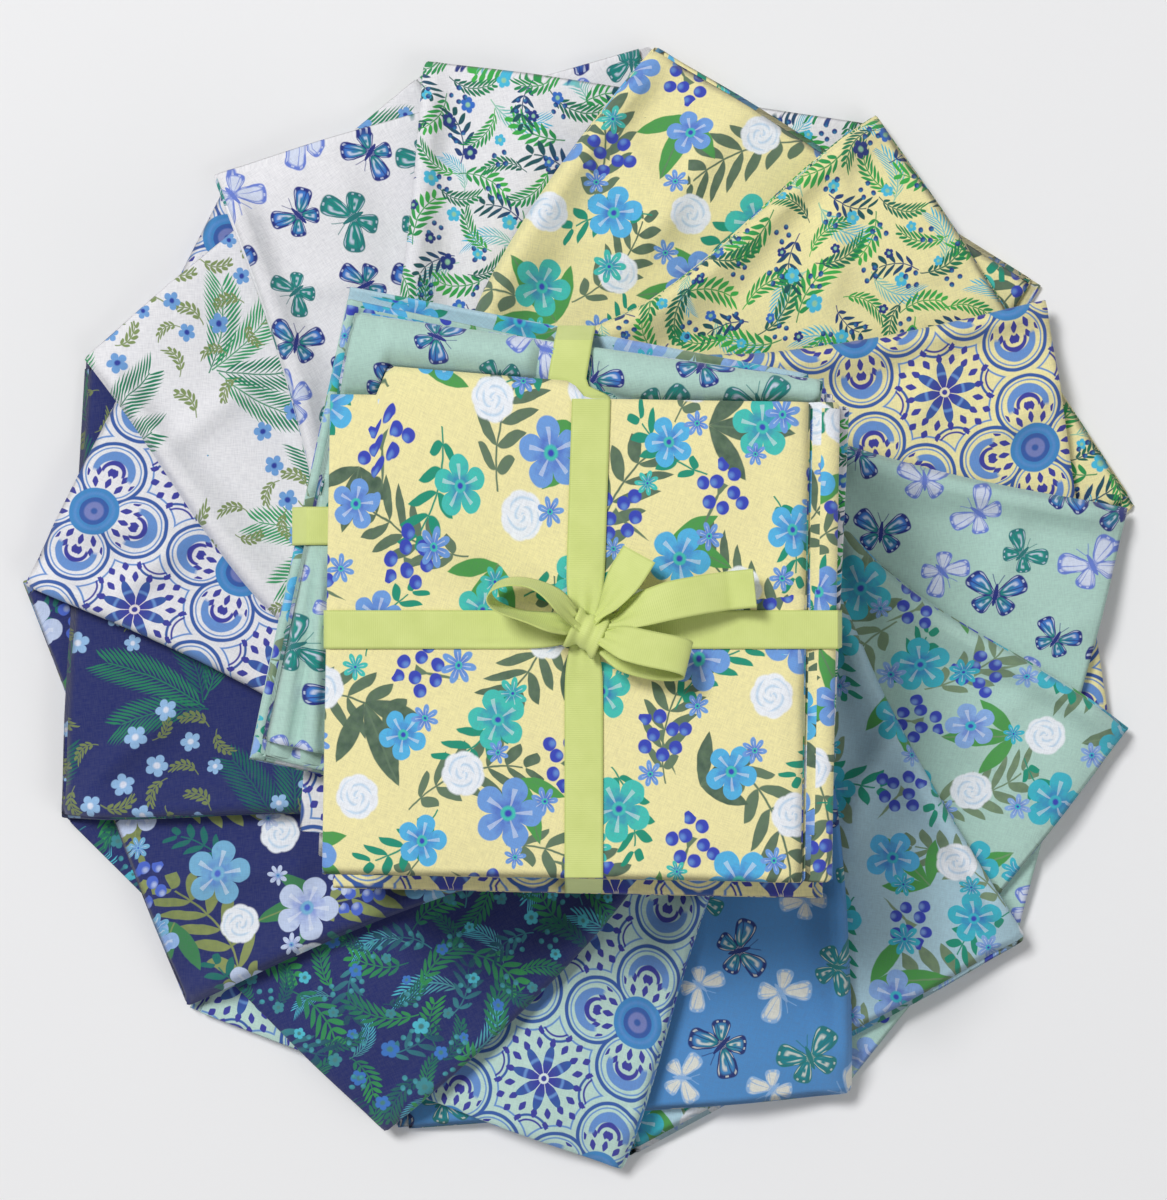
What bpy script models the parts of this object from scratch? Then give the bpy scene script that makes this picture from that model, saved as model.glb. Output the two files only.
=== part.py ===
"""Fat quarter bundle: a ribbon-tied stack of folded fat quarters on a pinwheel fan of fat quarters.

Every fat quarter is one open sheet carried onto its folds and given a thickness. Metres, +Z up.
X runs to the right and Y away from the front edge of the stack. The origin is on the surface that the
fan lies on, under the middle of the whole footprint.
"""
import math
from dataclasses import dataclass

import bmesh
import bpy
from mathutils import Vector
from mathutils.geometry import convex_hull_2d

MM = 0.001

# One fat quarter is 457 x 559 mm. Thirds of one side and quarters of the other give the packet.
# In a solid, four of its thicknesses are one layer, so a packet is three layers folded back and forth.
LAYER = 1.0 * MM
LAYER_GAP = 0.35 * MM
LAYERS = 3
HIDDEN_FOLD_STEPS = 3
SEEN_FOLD_STEPS = 4
PIECE_GAP = 0.48 * MM
TOUCH = 0.3 * MM
MERGE_DISTANCE = 0.01 * MM
COTTON_ROUGHNESS = 0.85
RIBBON_ROUGHNESS = 0.55

# Fan: fifteen packets, each one lying on the one before it, clockwise, all the way round.
FAN_COUNT = 15
FAN_STEP = math.radians(360.0 / FAN_COUNT)
FAN_RADIUS = 183.2 * MM
FAN_HALF_WIDTH = FAN_RADIUS * math.sin(FAN_STEP)
FAN_REACH = FAN_RADIUS * math.cos(FAN_STEP)
FAN_INNER = 26.4 * MM
FAN_FIRST_CORNER = math.radians(-16.2)
FAN_HUB = Vector((0.4, 0.7, 0.0)) * MM
FAN_ROWS = 8
FAN_ROW_POWER = 1.3
FAN_SHARES = (-1.0, -0.52, -0.12, 0.12, 0.52, 1.0)
FAN_LOWEST_SHARES = (-1.0, -0.5, -0.1, 0.3, 0.78, 1.0)
# How far the bottom and the top layers stop short of the fold that they lie in.
FAN_BOTTOM_SHORT = 2.0 * MM
FAN_TOP_SHORT = 3.0 * MM
# A packet's side starts to wave over this share of its length from the hub.
WAVE_EASE = 1.0 / 3.0
# The pile is lowest at the rim and nearly level from the hub to the packets' inner corners. Both angles
# are those from a packet's middle line to where it meets the table.
RIDGE_ANGLE = math.radians(71.5)
RIDGE_RADIUS = math.hypot(FAN_HALF_WIDTH, FAN_INNER)
RIM_TURN = math.radians(0.2) / MM
HUB_EASE = math.radians(0.0095) / MM ** 2
# Near the hub, where the ramp is steepest, the packets lie further apart.
HUB_GAP = 1.65 * MM
HUB_GAP_RADIUS = 10.0 * MM
EVEN_GAP_RADIUS = 110.0 * MM
SPARE_ANGLE = math.radians(1.5)
# The bottom layer lies on the table until it climbs onto the packet before it.
FLAT_ANGLE = math.radians(12.5)
CLIMBED_ANGLE = math.radians(22.5)
PILE_STEPS = 20

# Stack: its middle, and the plan of one packet.
STACK_X = 0.6 * MM
STACK_Y = -10.5 * MM
STACK_HALF_WIDTH = 76.0 * MM
STACK_HALF_DEPTH = 72.0 * MM
STACK_ROWS = 3
STACK_SHARES = (-1.0, -0.33, 0.33, 1.0)
STACK_GAP = 0.4 * MM
STACK_BOTTOM_SHORT = 2.0 * MM
CORNER_DROP = 1.5 * MM
CORNER_RADIUS = 104.0 * MM

# Ribbon
RIBBON_WIDTH = 11.5 * MM
RIBBON = 1.0 * MM
RIBBON_STEP = 14.0 * MM
ARC_STEPS = 4
LONG_X = 1.6 * MM
CROSS_Y = -6.5 * MM
CROSS_LEFT_Y = 24.5 * MM
TUCK = 11.0 * MM
HUMP_HALF = 26.0 * MM
KNOT_X = 2.4 * MM
KNOT_Y = -7.5 * MM
KNOT_SIZE = Vector((17.0, 11.0, 6.4)) * MM
KNOT_NIP = 0.22
KNOT_NIP_WIDTH = 0.16
KNOT_LOW_SHARE = 0.43


@dataclass(frozen=True)
class FanPacket:
    """One packet of the fan. reach and bow in mm, turn in degrees clockwise."""
    print_name: str
    reach: float
    turn: float
    bow: float
    waves: float
    puff: float
    colour: tuple


@dataclass(frozen=True)
class StackPacket:
    """One packet of the stack. turn in degrees clockwise, the rest in mm."""
    print_name: str
    turn: float
    right: float
    back: float
    fold: str
    layer_gap: float
    short: float
    colour: tuple


WHITE = (0.80, 0.80, 0.84)
YELLOW = (0.86, 0.79, 0.44)
SAGE = (0.46, 0.66, 0.58)
AQUA = (0.45, 0.64, 0.73)
BLUE = (0.07, 0.24, 0.55)
NAVY = (0.02, 0.03, 0.16)
MINT = (0.55, 0.73, 0.68)
LIME = (0.62, 0.72, 0.24)

FAN_PACKETS = (
    #         print name        reach  turn   bow  waves puff  colour
    FanPacket("white_foliage", 1.6, 0.0, 3.0, 1.0, 1.0, WHITE),
    FanPacket("yellow_floral", 0.8, -0.3, -6.0, 1.0, 1.2, YELLOW),
    FanPacket("yellow_foliage", 1.8, 0.4, 5.0, 1.5, 1.4, YELLOW),
    FanPacket("yellow_tile", -2.4, 1.2, 4.0, 1.0, 1.0, YELLOW),
    FanPacket("sage_butterfly", -2.2, 0.5, 4.0, 1.0, 1.2, SAGE),
    FanPacket("sage_floral", -1.6, 0.3, 4.5, 1.5, 1.5, SAGE),
    FanPacket("aqua_floral", -1.5, -0.8, 3.0, 1.0, 1.0, AQUA),
    FanPacket("blue_butterfly", -1.5, -0.7, -3.0, 1.0, 1.0, BLUE),
    FanPacket("mint_tile", 0.8, 0.4, 2.5, 1.5, 1.2, MINT),
    FanPacket("navy_foliage", 0.0, 0.4, -4.0, 1.0, 1.4, NAVY),
    FanPacket("navy_floral", -0.2, 0.7, 3.5, 1.0, 1.4, NAVY),
    FanPacket("navy_fern", -1.8, 0.9, 3.0, 1.5, 1.2, NAVY),
    FanPacket("white_tile", -2.6, 0.5, 3.5, 1.0, 1.2, WHITE),
    FanPacket("white_fern", -1.6, -0.2, -3.5, 1.5, 1.2, WHITE),
    FanPacket("white_butterfly", 1.4, -0.5, 4.0, 1.0, 1.2, WHITE),
)

STACK_PACKETS = (
    #           print name        turn  right  back  fold   gap  short colour
    StackPacket("navy_foliage", 0.5, 1.5, -1.0, "left", 0.5, 2.0, NAVY),
    StackPacket("navy_floral", -0.8, 0.5, 0.0, "left", 0.5, 2.0, NAVY),
    StackPacket("navy_fern", 0.6, -1.0, -0.5, "left", 0.5, 2.0, NAVY),
    StackPacket("mint_tile", 1.0, 1.5, -1.5, "left", 0.5, 2.0, MINT),
    StackPacket("blue_butterfly", -0.5, 2.0, -2.0, "left", 0.5, 2.0, BLUE),
    StackPacket("yellow_tile", 0.8, 1.5, -2.5, "left", 0.5, 2.0, YELLOW),
    StackPacket("white_foliage", 1.5, 2.5, -1.0, "left", 0.5, 2.0, WHITE),
    StackPacket("white_butterfly", 2.6, -1.0, 3.5, "left", 0.5, 2.0, WHITE),
    StackPacket("white_tile", 4.6, -4.0, 9.0, "left", 0.5, 2.0, WHITE),
    StackPacket("aqua_floral", 8.6, -7.0, 21.0, "back", 0.6, 3.0, AQUA),
    StackPacket("sage_floral", 9.0, -14.0, 14.0, "left", 1.1, 4.0, SAGE),
    StackPacket("sage_butterfly", 8.0, -8.0, 11.5, "back", 1.1, 4.0, SAGE),
    StackPacket("yellow_floral", 1.0, 0.0, 0.0, "left", 0.5, 9.0, YELLOW),
)


def clear_scene():
    """Remove what the scene holds."""
    for found in list(bpy.data.objects):
        bpy.data.objects.remove(found)


def smooth(value):
    """Ease from 0 to 1."""
    value = min(1.0, max(0.0, value))
    return value * value * (3.0 - 2.0 * value)


def material(name, colour, roughness):
    """A cloth material with one colour."""
    made = bpy.data.materials.get(name) or bpy.data.materials.new(name)
    made.use_nodes = True
    shader = made.node_tree.nodes["Principled BSDF"]
    shader.inputs["Base Color"].default_value = (*colour, 1.0)
    shader.inputs["Roughness"].default_value = roughness
    shader.inputs["Metallic"].default_value = 0.0
    return made


def sheet_object(name, columns, rows, place, thickness, surface, closed=False):
    """An open grid whose points place(column, row) carries to their folds, with a Solidify on it."""
    last_column = len(columns) - 1
    last_row = len(rows) - 1
    cloth = bmesh.new()
    bmesh.ops.create_grid(cloth, x_segments=last_column, y_segments=last_row, size=0.5)
    for vert in cloth.verts:
        column = columns[round((vert.co.x + 0.5) * last_column)]
        row = rows[round((vert.co.y + 0.5) * last_row)]
        vert.co = place(column, row)
    if closed:
        bmesh.ops.remove_doubles(cloth, verts=cloth.verts, dist=MERGE_DISTANCE)
    mesh = bpy.data.meshes.new(name)
    cloth.to_mesh(mesh)
    cloth.free()
    mesh.shade_smooth()
    mesh.materials.append(surface)
    made = bpy.data.objects.new(name, mesh)
    bundle.objects.link(made)
    wall = made.modifiers.new("thickness", "SOLIDIFY")
    wall.thickness = thickness
    wall.offset = 0.0
    wall.use_even_offset = True
    return made


def fold_columns(half_width, layer_gap, first_short, last_short, lowest_shares, shares):
    """Section of a packet folded back and forth, as points (u, w) from the bottom's free end.

    The bottom layer's free end and the middle-to-top fold are at -u, the other fold is at +u. The
    shares, from -1 to 1, are where along a layer its points lie.
    """
    pitch = LAYER + layer_gap
    bend = pitch / 2.0
    inside = half_width - bend - LAYER / 2.0
    points = []
    for layer in range(LAYERS):
        way = 1.0 if layer % 2 == 0 else -1.0
        height = LAYER / 2.0 + layer * pitch
        start = -inside + (first_short if layer == 0 else 0.0)
        end = inside - (last_short if layer == LAYERS - 1 else 0.0)
        for share in lowest_shares if layer == 0 else shares:
            points.append((way * (start + (end - start) * (share + 1.0) / 2.0), height))
        if layer < LAYERS - 1:
            fold_steps = HIDDEN_FOLD_STEPS if layer == 0 else SEEN_FOLD_STEPS
            for step in range(1, fold_steps):
                angle = math.pi * step / fold_steps
                points.append((way * (inside + bend * math.sin(angle)),
                               height + bend - bend * math.cos(angle)))
    return points


def packet_height(layer_gap):
    """Height of a folded packet."""
    return LAYERS * LAYER + (LAYERS - 1) * layer_gap


# ---------------------------------------------------------------- fan

FAN_PACKET_HEIGHT = packet_height(LAYER_GAP)


def edge_angle(radius):
    """Angle from a packet's middle line to where its ramp starts: a little past its long edge."""
    inward = FAN_RADIUS - radius
    ridge_inward = FAN_RADIUS - RIDGE_RADIUS
    bend = (RIDGE_ANGLE - FAN_STEP - RIM_TURN * ridge_inward) / ridge_inward ** 2
    past_ridge = max(0.0, RIDGE_RADIUS - radius)
    return FAN_STEP + RIM_TURN * inward + bend * inward ** 2 - HUB_EASE * past_ridge ** 2


def long_edge_angle(radius):
    """Angle from a packet's middle line to its long edge."""
    return math.asin(min(1.0, FAN_HALF_WIDTH / radius))


def fan_rise(radius):
    """Height that a packet gains for each radian round the hub."""
    share = smooth((radius - HUB_GAP_RADIUS) / (EVEN_GAP_RADIUS - HUB_GAP_RADIUS))
    return (FAN_PACKET_HEIGHT + PIECE_GAP + HUB_GAP * (1.0 - share)) / FAN_STEP


def fan_height(radius, angle, w, puff):
    """Height of a packet's point: a ramp round the hub, so that each packet clears the one before."""
    turned = edge_angle(radius) + SPARE_ANGLE - angle
    rise = fan_rise(radius)
    ramp = rise * turned
    layer_share = (w - LAYER / 2.0) / (FAN_PACKET_HEIGHT - LAYER)
    if turned < FLAT_ANGLE:
        sag = ramp
    else:
        climb = (CLIMBED_ANGLE - turned) / (CLIMBED_ANGLE - FLAT_ANGLE)
        sag = rise * FLAT_ANGLE * max(0.0, climb)
    seen = (angle + long_edge_angle(radius)) / FAN_STEP
    lift = puff * math.sin(math.pi * min(1.0, max(0.0, seen))) ** 2
    lift *= smooth((radius - RIDGE_RADIUS) / (FAN_RADIUS - RIDGE_RADIUS))
    return ramp - sag * (1.0 - layer_share) + lift * layer_share + w


def make_fan_packet(index, packet):
    """One folded fat quarter of the fan."""
    name = f"fan_{index + 1:02d}_{packet.print_name}"
    middle = FAN_FIRST_CORNER + FAN_STEP * (index + 1)
    outline_turn = math.radians(packet.turn)

    def place(column, v):
        u, w = column
        share = (v - FAN_INNER) / (FAN_REACH - FAN_INNER)
        v_moved = v + packet.reach * MM * share
        wave = packet.bow * MM * math.sin(math.pi * packet.waves * share) * smooth(share / WAVE_EASE)
        u_moved = u + wave * (FAN_HALF_WIDTH - u) / (2.0 * FAN_HALF_WIDTH)
        radius = math.hypot(u_moved, v_moved)
        angle = math.atan2(u_moved, v_moved) + outline_turn
        height = fan_height(radius, angle, w, packet.puff * MM)
        bearing = middle + angle
        return FAN_HUB + Vector((radius * math.sin(bearing), radius * math.cos(bearing), height))

    columns = fold_columns(FAN_HALF_WIDTH, LAYER_GAP, FAN_BOTTOM_SHORT, FAN_TOP_SHORT,
                           FAN_LOWEST_SHARES, FAN_SHARES)
    rows = [FAN_INNER + (FAN_REACH - FAN_INNER) * (step / FAN_ROWS) ** FAN_ROW_POWER
            for step in range(FAN_ROWS + 1)]
    surface = material("cotton_" + packet.print_name, packet.colour, COTTON_ROUGHNESS)
    return sheet_object(name, columns, rows, place, LAYER, surface)


def pile_top():
    """Height of the fan's pile at the packets' inner corners."""
    highest = 0.0
    for step in range(PILE_STEPS + 1):
        radius = FAN_INNER + (RIDGE_RADIUS - FAN_INNER) * step / PILE_STEPS
        angle = math.acos(FAN_INNER / radius)
        highest = max(highest, fan_height(radius, -angle, FAN_PACKET_HEIGHT, 0.0))
    return highest


# ---------------------------------------------------------------- stack

RIBBON_ROOM = RIBBON + 2.0 * TOUCH


def corner_drop(x, y):
    """How far the packets sink outside the pile's ridge."""
    return CORNER_DROP * (math.hypot(x, y) / CORNER_RADIUS) ** 4


def stack_levels():
    """Underside height of each packet, lowest first, with room for the ribbon under the top one."""
    level = pile_top() + RIBBON_ROOM + corner_drop(FAN_HALF_WIDTH, FAN_INNER)
    levels = []
    for index, packet in enumerate(STACK_PACKETS):
        if index == len(STACK_PACKETS) - 1:
            level += RIBBON_ROOM - STACK_GAP
        levels.append(level)
        level += packet_height(packet.layer_gap * MM) + STACK_GAP
    return levels


def stack_axes(packet):
    """Middle of a packet and its two directions in plan: across the folds, and along them."""
    turn = math.radians(packet.turn)
    right = Vector((math.cos(turn), -math.sin(turn), 0.0))
    back = Vector((math.sin(turn), math.cos(turn), 0.0))
    middle = Vector((STACK_X + packet.right * MM, STACK_Y + packet.back * MM, 0.0))
    if packet.fold == "left":
        return middle, right, back, STACK_HALF_WIDTH, STACK_HALF_DEPTH
    return middle, -back, right, STACK_HALF_DEPTH, STACK_HALF_WIDTH


def stack_point(index, level, u, v, w):
    """Point of a packet of the stack."""
    middle, across, along, _, _ = stack_axes(STACK_PACKETS[index])
    point = middle + across * u + along * v
    share = 1.0 - index / len(STACK_PACKETS)
    point.z = level + w - share * corner_drop(point.x, point.y)
    return point


def make_stack_packet(index, packet, level):
    """One folded fat quarter of the stack."""
    name = f"stack_{index + 1:02d}_{packet.print_name}"
    _, _, _, half_width, half_depth = stack_axes(packet)

    def place(column, v):
        u, w = column
        return stack_point(index, level, u, v, w)

    columns = fold_columns(half_width, packet.layer_gap * MM, STACK_BOTTOM_SHORT, packet.short * MM,
                           STACK_SHARES, STACK_SHARES)
    rows = [half_depth * (2.0 * step / STACK_ROWS - 1.0) for step in range(STACK_ROWS + 1)]
    surface = material("cotton_" + packet.print_name, packet.colour, COTTON_ROUGHNESS)
    return sheet_object(name, columns, rows, place, LAYER, surface)


# ---------------------------------------------------------------- ribbon


def edge_crossings(index, level, axis, at, half):
    """Where a band of given half width meets a packet's edges, as points (position, height).

    axis 0: the band runs along X at Y = at. axis 1: it runs along Y at X = at.
    """
    packet = STACK_PACKETS[index]
    middle, across, along, half_width, half_depth = stack_axes(packet)
    other = 1 - axis
    height = packet_height(packet.layer_gap * MM)
    found = []
    for edge_way, line_way, edge, line in ((across, along, half_width, half_depth),
                                           (along, across, half_depth, half_width)):
        if abs(edge_way[axis]) < abs(edge_way[other]):
            continue
        for side in (-1.0, 1.0):
            start = middle + edge_way * (side * edge)
            for offset in (-half, 0.0, half):
                run = (at + offset - start[other]) / line_way[other]
                run = max(-line, min(line, run))
                corner = start + line_way * run
                share = 1.0 - index / len(STACK_PACKETS)
                drop = share * corner_drop(corner.x, corner.y)
                found.append((corner[axis], level - drop))
                found.append((corner[axis], level - drop + height))
    return found


def wrapped(points, clearance):
    """Path at a clearance round the hull of some points, counter-clockwise, with round corners."""
    hull = [Vector(points[number]) for number in convex_hull_2d(points)]
    area = sum(hull[i - 1].x * hull[i].y - hull[i].x * hull[i - 1].y for i in range(len(hull)))
    if area < 0.0:
        hull.reverse()
    path = []
    for number, corner in enumerate(hull):
        arriving = (corner - hull[number - 1]).normalized()
        leaving = (hull[(number + 1) % len(hull)] - corner).normalized()
        start = math.atan2(-arriving.x, arriving.y)
        turn = -arriving.angle_signed(leaving)
        steps = max(1, round(ARC_STEPS * turn / (math.pi / 2.0)))
        for step in range(steps + 1):
            angle = start + turn * step / steps
            path.append(corner + Vector((math.cos(angle), math.sin(angle))) * clearance)
    return path


def resampled(path, spacing):
    """The path with points added so that no step is longer than the spacing."""
    points = []
    for here, following in zip(path, path[1:]):
        steps = max(1, math.ceil((following - here).length / spacing))
        points += [here.lerp(following, step / steps) for step in range(steps)]
    return points + [path[-1]]


def ribbon_strip(name, centres, sides, closed=False):
    """A strip of ribbon along its centre points, with its half-width direction at each point."""
    stations = list(zip(centres, sides))

    def place(station, across):
        centre, side = station
        return centre + side * (across * RIBBON_WIDTH / 2.0)

    surface = material("lime_ribbon", LIME, RIBBON_ROUGHNESS)
    return sheet_object(name, stations, (-1.0, 1.0), place, RIBBON, surface, closed)


def make_ribbon_long(levels):
    """The length round the stack from front to back, over and under every packet."""
    half = RIBBON_WIDTH / 2.0
    crossings = []
    for index, level in enumerate(levels):
        crossings += edge_crossings(index, level, 1, LONG_X, half)
    path = wrapped(crossings, TOUCH + RIBBON / 2.0)
    path = resampled(path + path[:1], RIBBON_STEP)
    middle = sum(level for level in levels) / len(levels)
    centres = []
    for point in path:
        lift = (RIBBON + TOUCH) * smooth(2.0 - 2.0 * abs(point.x - CROSS_Y) / HUMP_HALF)
        height = point.y + (lift if point.y > middle else 0.0)
        centres.append(Vector((LONG_X, point.x, height)))
    sides = [Vector((1.0, 0.0, 0.0))] * len(centres)
    return ribbon_strip("ribbon_long", centres, sides, closed=True)


def make_ribbon_cross(levels):
    """The length round the stack from left to right, its two ends tucked under the top packet."""
    half = RIBBON_WIDTH / 2.0
    clearance = TOUCH + RIBBON / 2.0
    top = len(levels) - 1
    top_points = edge_crossings(top, levels[top], 0, CROSS_Y, half)
    right_points = list(top_points)
    left_points = []
    for index in range(top):
        right_points += edge_crossings(index, levels[index], 0, CROSS_Y, half)
        left_points += edge_crossings(index, levels[index], 0, CROSS_LEFT_Y, half)
    left_edge = min(point[0] for point in top_points)
    top_height = packet_height(STACK_PACKETS[top].layer_gap * MM)

    right_path = [point for point in wrapped(right_points, clearance) if point.x > LONG_X]
    left_path = [point for point in wrapped(left_points, clearance) if point.x < LONG_X]
    right_path.sort(key=lambda point: -math.atan2(point.y - levels[top // 2], point.x))
    left_path.sort(key=lambda point: -math.atan2(point.y - levels[top // 2], point.x) % math.tau)

    turn_radius = top_height / 2.0 + clearance
    turn_middle = Vector((left_edge + top_height / 2.0, levels[top] + top_height / 2.0))
    path = [(turn_middle + Vector((TUCK, -turn_radius)), CROSS_Y)]
    for step in range(2 * ARC_STEPS + 1):
        angle = -math.pi / 2.0 - math.pi * step / (2 * ARC_STEPS)
        around = Vector((math.cos(angle), math.sin(angle))) * turn_radius
        path.append((turn_middle + around, CROSS_Y))
    path += [(point, CROSS_Y) for point in right_path]
    path += [(point, CROSS_LEFT_Y) for point in left_path]
    last = left_path[-1]
    path.append((Vector((left_edge + TUCK, last.y)), CROSS_LEFT_Y))

    centres = []
    for (here, here_y), (following, following_y) in zip(path, path[1:] + path[-1:]):
        steps = max(1, math.ceil((following - here).length / RIBBON_STEP))
        for step in range(steps):
            share = step / steps
            point = here.lerp(following, share)
            centres.append(Vector((point.x, here_y + (following_y - here_y) * share, point.y)))
    for centre in centres:
        if centre.z < levels[0]:
            near = smooth(2.0 - 2.0 * abs(centre.x - LONG_X) / HUMP_HALF)
            centre.z -= (RIBBON + TOUCH) * near
    sides = [Vector((0.0, 1.0, 0.0))] * len(centres)
    return ribbon_strip("ribbon_cross", centres, sides)


def ribbon_top(levels):
    """Height of the long ribbon's upper face where the two lengths cross."""
    top = len(levels) - 1
    top_height = packet_height(STACK_PACKETS[top].layer_gap * MM)
    return levels[top] + top_height + 2.0 * (RIBBON + TOUCH)


def knot_height(base):
    """Height of the knot's middle."""
    return base + TOUCH + KNOT_SIZE.z * KNOT_LOW_SHARE


def make_knot(base):
    """The knot: a squashed lump, nipped in where the ribbon crosses it."""
    middle = Vector((KNOT_X, KNOT_Y, knot_height(base)))
    knot = bmesh.new()
    bmesh.ops.create_uvsphere(knot, u_segments=12, v_segments=7, radius=0.5)
    for vert in knot.verts:
        nip = 1.0 - KNOT_NIP * math.exp(-(vert.co.x / KNOT_NIP_WIDTH) ** 2)
        size = Vector((KNOT_SIZE.x, KNOT_SIZE.y * nip, KNOT_SIZE.z * nip))
        vert.co = middle + vert.co * size
    mesh = bpy.data.meshes.new("ribbon_knot")
    knot.to_mesh(mesh)
    knot.free()
    mesh.shade_smooth()
    mesh.materials.append(material("lime_ribbon", LIME, RIBBON_ROUGHNESS))
    bundle.objects.link(bpy.data.objects.new("ribbon_knot", mesh))


@dataclass(frozen=True)
class Loop:
    """A loop of the bow. Directions in degrees anticlockwise from +X, lengths in mm."""
    name: str
    start: float
    direction: float
    length: float
    opening: float
    stand: float
    rise: float
    steps: int


LOOPS = (
    #     name               start dir    length opening stand rise steps
    Loop("ribbon_loop_left", 8.1, 157.0, 25.0, 7.0, 38.0, 0.5, 18),
    Loop("ribbon_loop_right", 8.5, -14.0, 24.0, 5.6, 66.0, 1.0, 18),
)
# The ribbon is gathered to this share of its width where it comes out of the knot, and a loop has its
# full width from this share of its length on.
GATHER = 0.42
GATHERED_PART = 0.45
LOOP_END_GAP = 1.0 * MM
LOOP_FULLNESS = 0.6


def make_loop(loop, base):
    """One loop of the bow: a drop-shaped strip that leans over by its stand angle."""
    turn = math.radians(loop.direction)
    lean = math.radians(loop.stand)
    forward = Vector((math.cos(turn), math.sin(turn), 0.0))
    beside = Vector((math.sin(turn), -math.cos(turn), 0.0))
    if loop.direction > 90.0:
        beside = -beside
    up = Vector((0.0, 0.0, 1.0))
    side = (up * math.cos(lean) + beside * math.sin(lean)).normalized()
    open_way = side.cross(forward).normalized()
    low = RIBBON_WIDTH / 2.0 * math.cos(lean) + loop.opening * MM * abs(open_way.z)
    knot_middle = knot_height(base)
    raised = base + 2.0 * TOUCH + low + loop.rise * MM
    middle = Vector((KNOT_X, KNOT_Y, knot_middle)) + forward * (loop.start * MM)
    centres = []
    sides = []
    for step in range(loop.steps + 1):
        angle = math.tau * step / loop.steps
        out = (1.0 - math.cos(angle)) / 2.0
        away = smooth(out / GATHERED_PART)
        wide = math.sin(angle) * out ** LOOP_FULLNESS
        apart = LOOP_END_GAP * math.cos(angle / 2.0)
        centres.append(middle + forward * (loop.length * MM * out)
                       + up * ((raised - knot_middle) * away)
                       + open_way * (loop.opening * MM * wide + apart))
        sides.append(side * (GATHER + (1.0 - GATHER) * away))
    ribbon_strip(loop.name, centres, sides)


@dataclass(frozen=True)
class TailPoint:
    """A point of a free end: mm from the knot's middle and above the ribbon, lean in degrees."""
    right: float
    back: float
    rise: float
    lean: float
    width: float


SHORT_TAIL = (
    TailPoint(3.5, 5.5, 3.4, 20.0, GATHER),
    TailPoint(6.6, 9.6, 5.4, 45.0, 0.8),
    TailPoint(11.0, 16.0, 5.6, 65.0, 1.0),
    TailPoint(15.5, 23.0, 4.6, 70.0, 1.0),
)

LONG_TAIL = (
    TailPoint(7.8, 2.8, 3.6, 10.0, GATHER),
    TailPoint(14.0, 7.0, 7.0, 55.0, 0.9),
    TailPoint(24.0, 9.4, 7.4, 80.0, 1.0),
    TailPoint(33.0, 11.0, 6.0, 88.0, 1.0),
    TailPoint(41.0, 12.0, 4.0, 90.0, 1.0),
    TailPoint(46.0, 12.7, 5.0, 90.0, 1.0),
    TailPoint(49.0, 13.0, 7.0, 90.0, 1.0),
)


def make_tail(name, points, base):
    """A free end of the bow: a strip through its points, leaning from its edge over to flat."""
    origin = Vector((KNOT_X, KNOT_Y, base))
    through = [origin + Vector((point.right, point.back, point.rise)) * MM for point in points]
    centres = []
    sides = []
    for number, centre in enumerate(through):
        before = through[max(0, number - 1)]
        after = through[min(len(through) - 1, number + 1)]
        forward = (after - before).normalized()
        level = forward.cross(Vector((0.0, 0.0, 1.0))).normalized()
        upright = level.cross(forward).normalized()
        lean = math.radians(points[number].lean)
        side = (level * math.sin(lean) + upright * math.cos(lean)) * points[number].width
        centres.append(centre)
        sides.append(side)
    fine_centres = []
    fine_sides = []
    for number in range(len(centres) - 1):
        for share in (0.0, 0.5):
            fine_centres.append(centres[number].lerp(centres[number + 1], share))
            fine_sides.append(sides[number].lerp(sides[number + 1], share))
    fine_centres.append(centres[-1])
    fine_sides.append(sides[-1])
    ribbon_strip(name, fine_centres, fine_sides)


def main():
    """Build the whole bundle."""
    for index, packet in enumerate(FAN_PACKETS):
        make_fan_packet(index, packet)
    levels = stack_levels()
    for index, packet in enumerate(STACK_PACKETS):
        make_stack_packet(index, packet, levels[index])
    make_ribbon_long(levels)
    make_ribbon_cross(levels)
    base = ribbon_top(levels)
    make_knot(base)
    for loop in LOOPS:
        make_loop(loop, base)
    make_tail("ribbon_tail_short", SHORT_TAIL, base)
    make_tail("ribbon_tail_long", LONG_TAIL, base)


clear_scene()
bundle = bpy.data.collections.new("fat_quarter_bundle")
bpy.context.scene.collection.children.link(bundle)
main()
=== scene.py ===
"""Fat quarter bundle: the looks of a ribbon-tied stack of fat quarters on a pinwheel fan of them.

Every fat quarter is one sheet of cotton, 457 x 559 mm, folded in four along its length and then in
three across its width. It lies in the room that its plain solid holds in the frame. Metres, +Z up.
"""
import logging
import math
from dataclasses import dataclass
from enum import Enum
from functools import cache
from itertools import accumulate, pairwise
from typing import Any, Callable, Iterable, Sequence

import bmesh
import bpy
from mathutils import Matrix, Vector
from mathutils.geometry import convex_hull_2d


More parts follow.
